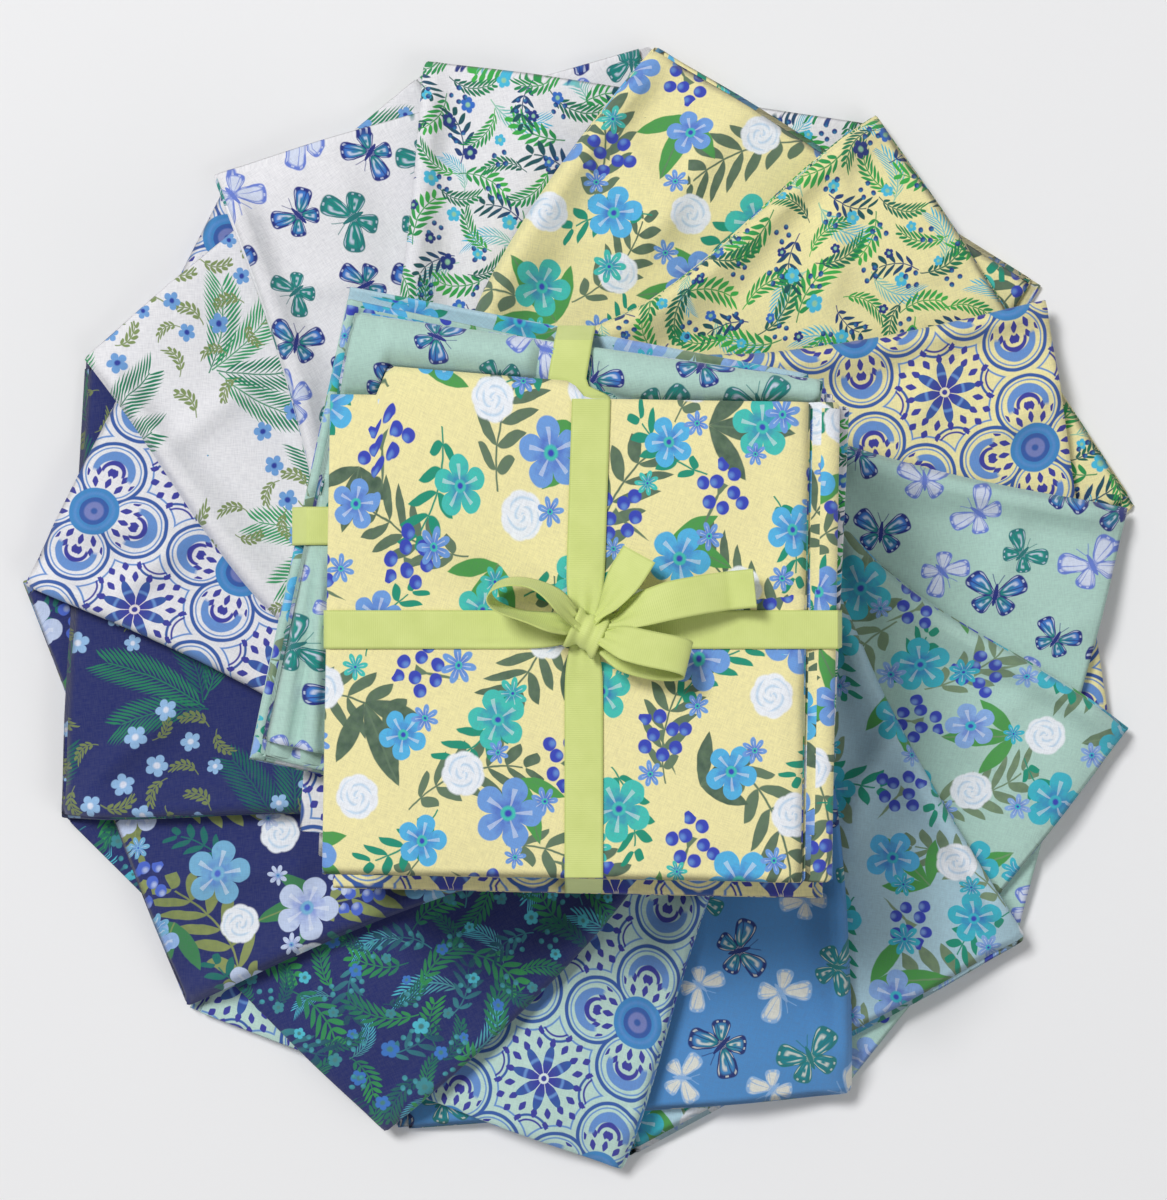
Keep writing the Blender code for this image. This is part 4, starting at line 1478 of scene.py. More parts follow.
        def place(across: float, along: float, up: float, layer: float, ply: float) -> Vector:
            """Lay a point of the flat packet on the fan.

            Args:
                across: Place across the packet, from the middle.
                along: Place along the packet, from the hub.
                up: Height in the packet.
                layer: Its layer, from 0.
                ply: Its ply, from 0.

            Returns:
                The place in the bundle.
            """
            share = (along - self.inner) / (self.reach - self.inner)
            slipped = self.ply_slip * (slip(ply, layer, index) - self.slip_back)
            along_moved = along + (shape.reach * MM + slipped) * smooth(share)
            wave = shape.bow * MM * math.sin(math.pi * shape.waves * share) * smooth(3.0 * share)
            across_moved = across + wave * (self.half_width - across) / (2.0 * self.half_width)
            across_moved += self.across_slip * self.ply_slip * side_slip(ply, layer, 2.1 * index) * share
            radius = math.hypot(across_moved, along_moved)
            angle = math.atan2(across_moved, along_moved) + outline_turn
            height = self.height(radius, angle, up, shape.puff * MM)
            bearing = middle + angle
            x = self.hub[0] + radius * math.sin(bearing)
            y = self.hub[1] + radius * math.cos(bearing)
            layer_share = clamped((up - self.layer / 2.0) / (self.packet_height - self.layer))
            follow = 1.0 if ply > TOP_PLY else self.hidden_follow
            relief = self.relief(index, max(0.0, across + self.half_width), across_moved, along_moved,
                                 self.seen(radius, angle), x, y)
            height += layer_share * follow * relief
            over = radius * math.cos(angle + self.step) - before_reach
            fall = self.droop * max(0.0, over / self.droop_reach) ** self.droop_bend
            return Vector((x, y, height - fall * smooth(-angle / (self.droop_side * self.step))))

        quarter = FoldedQuarter(
            node, COTTONS[shape.print_name], self.half_width, self.inner, self.reach, self.layer_gap,
            *self.free_edges, turn=shape.print_turn, shift=(shape.print_right * MM, shape.print_up * MM))
        return quarter.build(place, [])

    def build(self) -> list[bpy.types.Object]:
        """Build every packet."""
        return [self.packet(index) for index in range(len(self.packets))]


# ---- stack


class Fold(Enum):
    """The side of the stack at which a packet's first fold lies."""

    LEFT = "left"
    BACK = "back"


@dataclass(frozen=True)
class StackPacket:
    """One packet of the stack. turn in degrees clockwise, the rest in mm."""

    print_name: str
    turn: float
    right: float
    back: float
    fold: Fold = Fold.LEFT
    layer_gap: float = 0.5
    short: float = 2.0
    print_turn: float = 0.0
    left_roll: float = 0.0
    left_tubes: int = 1
    back_roll: float = 0.0
    trim: float = 0.0
    front_trim: float = 0.0
    splay: tuple[float, float] = (0.0, 0.0)


@dataclass
class Stack:
    """The tied stack on the middle of the fan."""

    packets: tuple[StackPacket, ...] = (
        #           print name        turn  right  back  fold   gap  short print turn
        StackPacket("navy_foliage", 0.5, 1.5, -1.0),
        StackPacket("navy_floral", -0.8, 0.5, 0.0),
        StackPacket("navy_fern", 0.6, -1.0, -0.5),
        StackPacket("mint_tile", 1.0, 1.5, -1.5),
        StackPacket("blue_butterfly", -0.5, 2.0, -2.0),
        StackPacket("yellow_tile", 1.2, 0.5, -5.0),
        StackPacket("white_foliage", 2.6, 3.4, 3.0),
        StackPacket("white_butterfly", 2.6, -1.0, 3.5),
        StackPacket("white_tile", 4.6, -4.0, 9.0),
        StackPacket("aqua_floral", 10.8, -7.8, 22.7, Fold.BACK, 0.6, 3.0, 30.0, 0.0, 1, 1.6, 12.0),
        StackPacket("sage_floral", 12.1, -10.5, 20.2, Fold.LEFT, 1.1, 4.0, 0.0, 4.2, 1, 1.5, 4.0),
        StackPacket("sage_butterfly", 8.2, -1.7, 17.0, Fold.BACK, 1.1, 4.0, 70.0, 4.6, 2, 7.0, 12.0,
                    splay=(9.5, 7.9)),
        StackPacket("yellow_floral", 1.0, 0.0, 0.0, Fold.LEFT, 0.5, 7.8, 20.0, front_trim=2.8),
    )
    middle: tuple[float, float] = (0.6 * MM, -10.5 * MM)
    half_width: float = 76.0 * MM
    half_depth: float = 72.0 * MM
    layer: float = 1.0 * MM
    bottom_short: float = 2.0 * MM
    hidden_step: float = 20.0 * MM
    # Cell size of the seen ply: the top packet's, the next two packets', the fourth one's, and the rest.
    seen_steps: tuple[float, ...] = (2.6 * MM, 1.5 * MM, 1.5 * MM, 2.6 * MM, 12.0 * MM)
    print_step: tuple[float, float] = (7.0 * MM, 11.0 * MM)
    corner_drop: float = 1.5 * MM
    corner_radius: float = 104.0 * MM
    ply_slip: float = 0.9 * MM
    across_slip: float = 0.4
    pillow: float = 1.6 * MM
    pillow_reach: float = 34.0 * MM
    edge_ease: float = 16.0 * MM
    long_x: float = 1.6 * MM
    long_tilt: float = 0.032
    long_slip: float = -4.6 * MM
    long_slip_from: float = 1.0 * MM
    long_slip_over: float = 5.0 * MM
    long_return: float = 0.17
    cross_y: float = -6.5 * MM
    cross_left_y: float = 24.5 * MM
    cross_ease: float = 8.0 * MM
    ribbon_half: float = 7.0 * MM
    ribbon_ease: float = 6.0 * MM
    roundness: float = 0.7
    least_roll: float = 1.0 * MM
    hidden_share: float = 0.6
    flap: float = 8.9 * MM
    flap_slope: float = 0.066
    flap_left: float = -58.2 * MM
    flap_left_ease: float = 2.5 * MM
    flap_right: float = 3.0 * MM
    flap_right_ease: float = 6.0 * MM
    flap_reach: float = 62.0 * MM
    flap_drop: float = 2.2 * MM
    flap_drop_reach: float = 9.0 * MM
    strip: float = 7.9 * MM
    strip_height: float = 1.4 * MM
    strip_swell: float = 1.3 * MM
    strip_bluntness: float = 0.7
    lip: float = 2.6 * MM
    lip_bend: float = 6.5 * MM
    lip_reach: float = 20.0 * MM

    def node(self, index: int) -> str:
        """A packet's node."""
        return f"stack_{index + 1:02d}_{self.packets[index].print_name}"

    def high(self, index: int) -> float:
        """Height of a packet by itself: three layers and two gaps."""
        return 3.0 * self.layer + 2.0 * self.packets[index].layer_gap * MM

    def level(self, index: int) -> float:
        """Underside height of a packet at the stack's middle, read from its node's top."""
        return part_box(self.node(index))[1][2] - self.high(index) + self.least_drop(index)

    def drop(self, index: int, x: float, y: float) -> float:
        """How far a packet sinks outside the pile's ridge."""
        share = 1.0 - index / len(self.packets)
        return share * self.corner_drop * (math.hypot(x, y) / self.corner_radius) ** 4

    def least_drop(self, index: int) -> float:
        """Drop at the middle of a packet's solid, whose vertices start a third of the way out."""
        third = self.half_depth / 3.0
        return self.drop(index, third, third)

    def rolled(self, index: int, point: Vector) -> float:
        """Height of the rolls in a packet's top layer, where it comes out from under the one above.

        Args:
            index: The packet.
            point: Place in the bundle.

        Returns:
            The height of its rolls on the left and at the back.
        """
        shape = self.packets[index]
        lift = 0.0
        for height, tubes, way, half in ((shape.left_roll, shape.left_tubes, 0, self.half_width),
                                         (shape.back_roll, 1, 1, self.half_depth)):
            sign = 1.0 if way else -1.0
            inward = half - sign * self.distance(index, point, way)
            outside = sign * self.distance(index + 1, point, way) - half
            if not way:
                inward += self.splayed(index, point)
                outside -= self.splayed(index + 1, point)
            if way and index + 2 == len(self.packets):
                outside -= self.flapped(point.x)
            if height <= 0.0 or outside <= 0.0:
                continue
            width = max(inward + outside, self.least_roll)
            tube = abs(math.sin(math.pi * tubes * clamped(inward / width))) ** (0.4 + 0.4 * tubes)
            pressed = point.x - self.long_at(point.y) if way else point.y - self.cross_left_y
            tube *= smooth((abs(pressed) - self.ribbon_half) / self.ribbon_ease)
            lift = max(lift, min(height * MM, self.roundness * width / tubes) * tube)
        return lift

    def splayed(self, index: int, point: Vector) -> float:
        """How far a packet's left edge is splayed out beside a point."""
        return self.packets[index].splay[0] * MM * self.ahead(self.distance(index, point, 1))

    def ahead(self, back: float) -> float:
        """0 at a packet's back edge and 1 at its front edge."""
        return clamped(0.5 - 0.5 * back / self.half_depth)

    def flapped(self, x: float) -> float:
        """How much further back the top layer reaches, left of the ribbon.

        Args:
            x: Place in the bundle.

        Returns:
            The distance.
        """
        size = self.flap - self.flap_slope * (x - self.flap_left)
        size *= smooth((x - self.flap_left) / self.flap_left_ease + 0.5)
        return size * smooth((self.flap_right - x) / self.flap_right_ease)

    def long_at(self, y: float) -> float:
        """Where the ribbon from front to back runs. It slips to the left behind the top packet.

        Args:
            y: Place in the bundle.

        Returns:
            The ribbon's middle, on X.
        """
        edge = self.middle[1] + self.half_depth
        if y < edge:
            return self.long_x + self.long_tilt * max(0.0, y - self.cross_y)
        back = smooth((y - edge - self.long_slip_from) / self.long_slip_over)
        ahead = self.long_x + self.long_tilt * (edge - self.cross_y)
        slipped = self.long_slip + self.long_return * max(0.0, y - edge)
        return ahead * (1.0 - back) + slipped * back

    def distance(self, index: int, point: Vector, way: int) -> float:
        """How far a point is from a packet's middle.

        Args:
            index: The packet.
            point: Place in the bundle.
            way: 0 for the distance to the right, and 1 for the one to the back.

        Returns:
            The distance, below 0 to the left or the front.
        """
        middle, across, along, _, _ = self.plan(index)
        folded_back = self.packets[index].fold is Fold.BACK
        offset = point - middle
        if way:
            return -offset.dot(across) if folded_back else offset.dot(along)
        return offset.dot(along) if folded_back else offset.dot(across)

    def pillowed(self, x: float, y: float) -> float:
        """How far the top ply stands up between the ribbons.

        Args:
            x: Place in the bundle.
            y: Place in the bundle.

        Returns:
            The height.
        """
        side = smooth((abs(x - self.long_x) - self.ribbon_half) / self.pillow_reach)
        side *= smooth((abs(y - self.cross_y) - self.ribbon_half) / self.pillow_reach)
        edge = smooth((self.half_width - abs(x - self.middle[0])) / self.edge_ease)
        edge *= smooth((self.half_depth - abs(y - self.middle[1])) / self.edge_ease)
        return self.pillow * side * edge

    def beside_cross(self, y: float) -> float:
        """0 under the ribbon from left to right, and 1 away from it."""
        return smooth((abs(y - self.cross_y) - self.ribbon_half) / self.cross_ease)

    def lipped(self, inward: float) -> float:
        """How far the top layer stands up beside its free edge, which dips into the groove on its right."""
        return self.lip * smooth(inward / self.lip_bend) * math.exp(-(inward / self.lip_reach) ** 2)

    def plan(self, index: int) -> tuple[Vector, Vector, Vector, float, float]:
        """How a packet lies.

        Args:
            index: The packet.

        Returns:
            Its middle, its ways across and along the folds, and its half sizes on them.
        """
        shape = self.packets[index]
        turn = math.radians(shape.turn)
        right = Vector((math.cos(turn), -math.sin(turn), 0.0))
        back = Vector((math.sin(turn), math.cos(turn), 0.0))
        middle = Vector((self.middle[0] + shape.right * MM, self.middle[1] + shape.back * MM, 0.0))
        if shape.fold is Fold.BACK:
            return middle, -back, right, self.half_depth, self.half_width
        return middle, right, back, self.half_width, self.half_depth

    def packet(self, index: int) -> bpy.types.Object:
        """Build one packet.

        Args:
            index: The packet, from the lowest.

        Returns:
            The finished piece.
        """
        shape = self.packets[index]
        middle, across_way, along_way, half_width, half_depth = self.plan(index)
        level = self.level(index)
        high = self.high(index)
        below_top = len(self.packets) - 1 - index

        def place(across: float, along: float, up: float, layer: float, ply: float) -> Vector:
            """Lay a point of the flat packet on the stack.

            Args:
                across: Place across the packet, from the middle.
                along: Place along the packet, from the middle to the front.
                up: Height in the packet.
                layer: Its layer, from 0.
                ply: Its ply, from 0.

            Returns:
                The place in the bundle.
            """
            slipped = self.ply_slip * slip(ply, layer, index)
            along_moved = along + slipped * along / half_depth
            across_moved = across + self.across_slip * self.ply_slip * side_slip(ply, layer, index)
            point = middle + across_way * across_moved - along_way * along_moved
            left = -self.distance(index, point, 0) / self.half_width
            if shape.splay[0] and left > 0.0:
                splay = left * self.ahead(self.distance(index, point, 1)) * MM
                point -= along_way * (shape.splay[0] * splay) + across_way * (shape.splay[1] * splay)
            point.z = level + up - self.drop(index, point.x, point.y)
            if below_top:
                share = 1.0 if ply > TOP_PLY else self.hidden_share
                point.z += self.rolled(index, point) * (up / high) * share
            elif layer > TOP_LAYER:
                at_back = smooth((-along - half_depth + self.flap_reach) / self.flap_reach)
                point += along_way * (self.flapped(point.x) * at_back)
                past = point.y - self.middle[1] - self.half_depth
                point.z -= self.flap_drop * smooth(past / self.flap_drop_reach)
                lip = self.lipped(half_width - shape.short * MM - across) * self.beside_cross(point.y)
                raised = max(lip, self.pillowed(point.x, point.y))
                point.z += raised if ply > TOP_PLY else self.hidden_share * lip
            elif layer > LOWEST_BEND:
                share = clamped((self.half_width - across) / self.strip)
                swell = self.strip_height + self.strip_swell * self.beside_cross(point.y)
                point.z += swell * math.sin(math.pi * share) ** self.strip_bluntness * min(1.0, layer)
            return point

        quarter = FoldedQuarter(
            self.node(index), COTTONS[shape.print_name], half_width, shape.trim * MM - half_depth,
            half_depth - shape.front_trim * MM, shape.layer_gap * MM, self.bottom_short, shape.short * MM,
            seen_step=self.seen_steps[min(below_top, len(self.seen_steps) - 1)], hidden_step=self.hidden_step,
            turn=shape.print_turn, shift=(self.print_step[0] * index, self.print_step[1] * index))
        return quarter.build(place, [self.node(index - 1)] if index else [])

    def build(self) -> list[bpy.types.Object]:
        """Build every packet."""
        return [self.packet(index) for index in range(len(self.packets))]


# ---- ribbon


def curve_through(points: Sequence[Vector], steps: int) -> list[Vector]:
    """A smooth curve through some points.

    Args:
        points: The points, in order.
        steps: Steps from one to the next.

    Returns:
        The points of the curve, the given ones among them.
    """
    last = len(points) - 1
    found = []
    for number in range(last):
        here, following = points[number], points[number + 1]
        leaving = (following - points[max(0, number - 1)]) * 0.5
        arriving = (points[min(last, number + 2)] - here) * 0.5
        for step in range(steps):
            t = step / steps
            found.append(here * (2.0 * t ** 3 - 3.0 * t ** 2 + 1.0) + leaving * (t ** 3 - 2.0 * t ** 2 + t)
                         + following * (3.0 * t ** 2 - 2.0 * t ** 3) + arriving * (t ** 3 - t ** 2))
    return found + [points[-1]]


Relief = Callable[[Vector, float], float]


@dataclass
class RibbonStrip:
    """One length of ribbon through its middle points. A side is 1 long where the ribbon is flat."""

    node: str
    centres: Sequence[Vector]
    sides: Sequence[Vector]
    held: Held
    closed: bool = False
    relief: Relief | None = None
    width: float = 11.5 * MM
    wall: float = 0.3 * MM
    across_steps: int = 12
    pleat: float = 1.2 * MM
    pleats: float = 2.5
    finish: RibbonFinish = RibbonFinish()

    def point(self, number: int, share: float) -> Vector:
        """A point of the strip. Where the ribbon is gathered it lies in pleats.

        Args:
            number: Which of its centres the point is beside.
            share: Place across it, from -1 to 1.

        Returns:
            The place in the bundle.
        """
        last = len(self.centres) - 1
        before = self.centres[last - 1 if self.closed and number == 0 else max(0, number - 1)]
        after = self.centres[1 if self.closed and number == last else min(last, number + 1)]
        side = self.sides[number]
        normal = (after - before).cross(side).normalized()
        fold = self.pleat * (1.0 - side.length) * math.cos(math.pi * self.pleats * share)
        if self.relief:
            fold += self.relief(self.centres[number], share)
        return self.centres[number] + side * (share * self.width / 2.0) + normal * fold

    def build(self, rests_on: Sequence[str] = ()) -> bpy.types.Object:
        """Make the strip.

        Args:
            rests_on: What it lies on.

        Returns:
            The finished piece.
        """
        gone = gone_along((following - here).length for here, following in pairwise(self.centres))
        places, spots = [], []
        for line in range(self.across_steps + 1):
            share = 2.0 * line / self.across_steps - 1.0
            places += [self.point(number, share) for number in range(len(gone))]
            spots += [(distance, share * self.width / 2.0) for distance in gone]
        strip = SheetPiece(self.node, "strip", self.finish.material(), "ribbon_lime", self.held,
                           (gone[-1], self.width), self.wall, self.closed)
        return strip.build(len(gone), places, spots, rests_on)


@dataclass
class TiedRibbon:
    """The two lengths round the stack, drawn together at the crossing."""

    stack: Stack
    clearance: float = 0.5 * MM
    edge_margin: float = 0.1 * MM
    slip_room: float = 1.5
    step: float = 2.5 * MM
    corner_steps: int = 8
    half: float = 5.75 * MM
    tuck: float = 11.0 * MM
    long_lift: float = 2.2 * MM
    cross_lift: float = 1.4 * MM
    lift_reach: float = 19.0 * MM
    gather: float = 0.36
    gather_reach: float = 9.0 * MM
    crease_x: float = -26.0 * MM
    crease_half: float = 7.5 * MM
    crease_ends: float = 1.2
    crease_depth: float = 0.35 * MM
    crease_rise: float = 3.0 * MM
    crease_share: float = -0.72
    crease_width: float = 0.13

    def crossings(self, index: int, axis: int, at: float) -> list[Vector]:
        """Where the ribbon meets a packet's edges.

        Args:
            index: The packet.
            axis: 0 for the length that runs along X, and 1 for the one along Y.
            at: Where it runs, on the other axis.

        Returns:
            Positions along the axis, with their heights.
        """
        shape = self.stack.packets[index]
        middle, across, along, half_width, half_depth = self.stack.plan(index)
        other = 1 - axis
        high = self.stack.high(index)
        found = []
        for edge_way, line_way, edge, line in ((across, along, half_width, half_depth),
                                               (along, across, half_depth, half_width)):
            if abs(edge_way[axis]) < abs(edge_way[other]):
                continue
            for side in (-1.0, 1.0):
                out = 0.0
                if side < 0.0 and edge_way.y > 0.5:
                    out = -shape.front_trim * MM
                elif side < 0.0 and edge_way.x > 0.5:
                    out = shape.splay[0] * MM * self.stack.ahead(at - middle.y)
                    out += self.slip_room * self.stack.ply_slip if out else 0.0
                start = middle + edge_way * (side * (edge + out))
                for offset in (-self.half, 0.0, self.half):
                    run = (at + offset - start[other]) / line_way[other]
                    corner = start + line_way * max(-line, min(line, run))
                    low = self.stack.level(index) - self.stack.drop(index, corner.x, corner.y)
                    found += [Vector((corner[axis], low)), Vector((corner[axis], low + high))]
        return found

    def wrapped(self, points: Sequence[Vector]) -> list[Vector]:
        """Wrap the ribbon round some points.

        Args:
            points: The edges of the packets.

        Returns:
            The path round their hull, anticlockwise, with round corners.
        """
        hull = [points[number] for number in convex_hull_2d(points)]
        if sum(hull[i - 1].x * hull[i].y - hull[i].x * hull[i - 1].y for i in range(len(hull))) < 0.0:
            hull.reverse()
        path = []
        for number, corner in enumerate(hull):
            arriving = (corner - hull[number - 1]).normalized()
            leaving = (hull[(number + 1) % len(hull)] - corner).normalized()
            start = math.atan2(-arriving.x, arriving.y)
            turn = -arriving.angle_signed(leaving)
            steps = max(1, round(self.corner_steps * turn / (math.pi / 2.0)))
            for step in range(steps + 1):
                angle = start + turn * step / steps
                path.append(corner + Vector((math.cos(angle), math.sin(angle))) * self.clearance)
        return path

    def resampled(self, path: Sequence[Vector]) -> list[Vector]:
        """Add points to a path, so that no step is long.

        Args:
            path: The path.

        Returns:
            The path with the points.
        """
        points = []
        for here, following in zip(path, path[1:]):
            steps = max(1, math.ceil((following - here).length / self.step))
            points += [here.lerp(following, number / steps) for number in range(steps)]
        return points + [path[-1]]

    def drawn_in(self, away: float) -> float:
        """Share of the ribbon's width at a distance from the knot."""
        return 1.0 - self.gather * math.exp(-(away / self.gather_reach) ** 2)

    def long_way(self) -> RibbonStrip:
        """The length round the stack from front to back.

        Returns:
            Its closed strip.
        """
        points = [point for index in range(len(self.stack.packets))
                  for point in self.crossings(index, 1, self.stack.long_x)]
        path = self.wrapped(points)
        top = len(self.stack.packets) - 1
        edge = max(point.x for point in self.crossings(top, 1, self.stack.long_x)) + self.clearance
        low = self.stack.level(top) + self.clearance
        path = self.resampled(path + path[:1])
        for point in path:
            if point.x > edge + self.edge_margin:
                point.y = min(point.y, low)
        path = self.resampled(path)
        middle = self.stack.level(len(self.stack.packets) // 2)
        centres, sides = [], []
        for point in path:
            above = point.y > middle
            away = abs(point.x - self.stack.cross_y)
            lift = self.long_lift * smooth(1.0 - away / self.lift_reach) if above else 0.0
            x = self.stack.long_at(point.x) if above else self.stack.long_x
            centres.append(Vector((x, point.x, point.y + lift)))
            sides.append(Vector((self.drawn_in(away) if above else 1.0, 0.0, 0.0)))
        return RibbonStrip("ribbon_long", centres, sides, Held.STRETCHED, closed=True)

    def cross_path(self) -> list[Vector]:
        """Path of the length from left to right.

        Returns:
            Its points. Its ends are tucked under the top packet's left edge.
        """
        stack = self.stack
        top = len(stack.packets) - 1
        top_points = self.crossings(top, 0, stack.cross_y)
        right_points = list(top_points)
        left_points = []
        for index in range(top):
            right_points += self.crossings(index, 0, stack.cross_y)
            left_points += self.crossings(index, 0, stack.cross_left_y)
        left_edge = min(point.x for point in top_points)
        high = stack.high(top)
        middle = stack.level(top // 2)

        def clockwise(point: Vector) -> float:
            """Angle of a point round the stack's middle, clockwise."""
            return -math.atan2(point.y - middle, point.x)

        right = sorted((point for point in self.wrapped(right_points) if point.x > stack.long_x),
                       key=clockwise)
        left = sorted((point for point in self.wrapped(left_points) if point.x < stack.long_x),
                      key=lambda point: clockwise(point) % math.tau)
        radius = high / 2.0 + self.clearance
        turn = Vector((left_edge + high / 2.0, stack.level(top) + high / 2.0))
        start = [turn + Vector((self.tuck, -radius))]
        for step in range(2 * self.corner_steps + 1):
            angle = -math.pi / 2.0 - math.pi * step / (2 * self.corner_steps)
            start.append(turn + Vector((math.cos(angle), math.sin(angle))) * radius)
        left.append(Vector((left_edge + self.tuck, left[-1].y)))
        path = [Vector((point.x, stack.cross_y, point.y)) for point in start + right]
        return path + [Vector((point.x, stack.cross_left_y, point.y)) for point in left]

    def cross_way(self) -> RibbonStrip:
        """The length round the stack from left to right.

        Returns:
            Its open strip.
        """
        middle = self.stack.level(len(self.stack.packets) // 2)
        centres, sides = [], []
        for centre in self.resampled(self.cross_path()):
            away = abs(centre.x - self.stack.long_x)
            near = smooth(1.0 - away / self.lift_reach)
            above = centre.z > middle
            centre.z += self.cross_lift * near if above else -2.0 * self.clearance * near
            centres.append(centre)
            sides.append(Vector((0.0, self.drawn_in(away) if above else 1.0, 0.0)))
        return RibbonStrip("ribbon_cross", centres, sides, Held.STRETCHED, relief=self.crease)

    def crease(self, centre: Vector, share: float) -> float:
        """The tuck that runs along the front edge, left of the knot.

        Args:
            centre: Point of the ribbon's middle line.
            share: Place across it, from -1 to 1.

        Returns:
            The offset of the ribbon's face.
        """
        along = smooth(self.crease_ends - abs(centre.x - self.crease_x) / self.crease_half)
        upper = smooth((centre.z - self.stack.level(len(self.stack.packets) - 1)) / self.crease_rise)
        line = math.exp(-((share - self.crease_share) / self.crease_width) ** 2)
        return -self.crease_depth * along * upper * line

    def build(self) -> list[bpy.types.Object]:
        """Build both lengths."""
        top = self.stack.node(len(self.stack.packets) - 1)
        return [self.cross_way().build([top]), self.long_way().build([top])]


@dataclass(frozen=True)
class BowLoop:
    """A loop of the bow. Directions in degrees anticlockwise from +X, lengths in mm.

    It stands up by one angle at the knot and by another at its far end: 0 is upright.
    """

    node: str
    direction: float
    length: float
    opening: float
    near_lean: float
    far_lean: float
    rise: float
    swing: float


@dataclass(frozen=True)
class TailPoint:
    """A point of a free end: mm from the knot's middle and above the ribbon, lean in degrees."""

    right: float
    back: float
    rise: float
    lean: float
    width: float


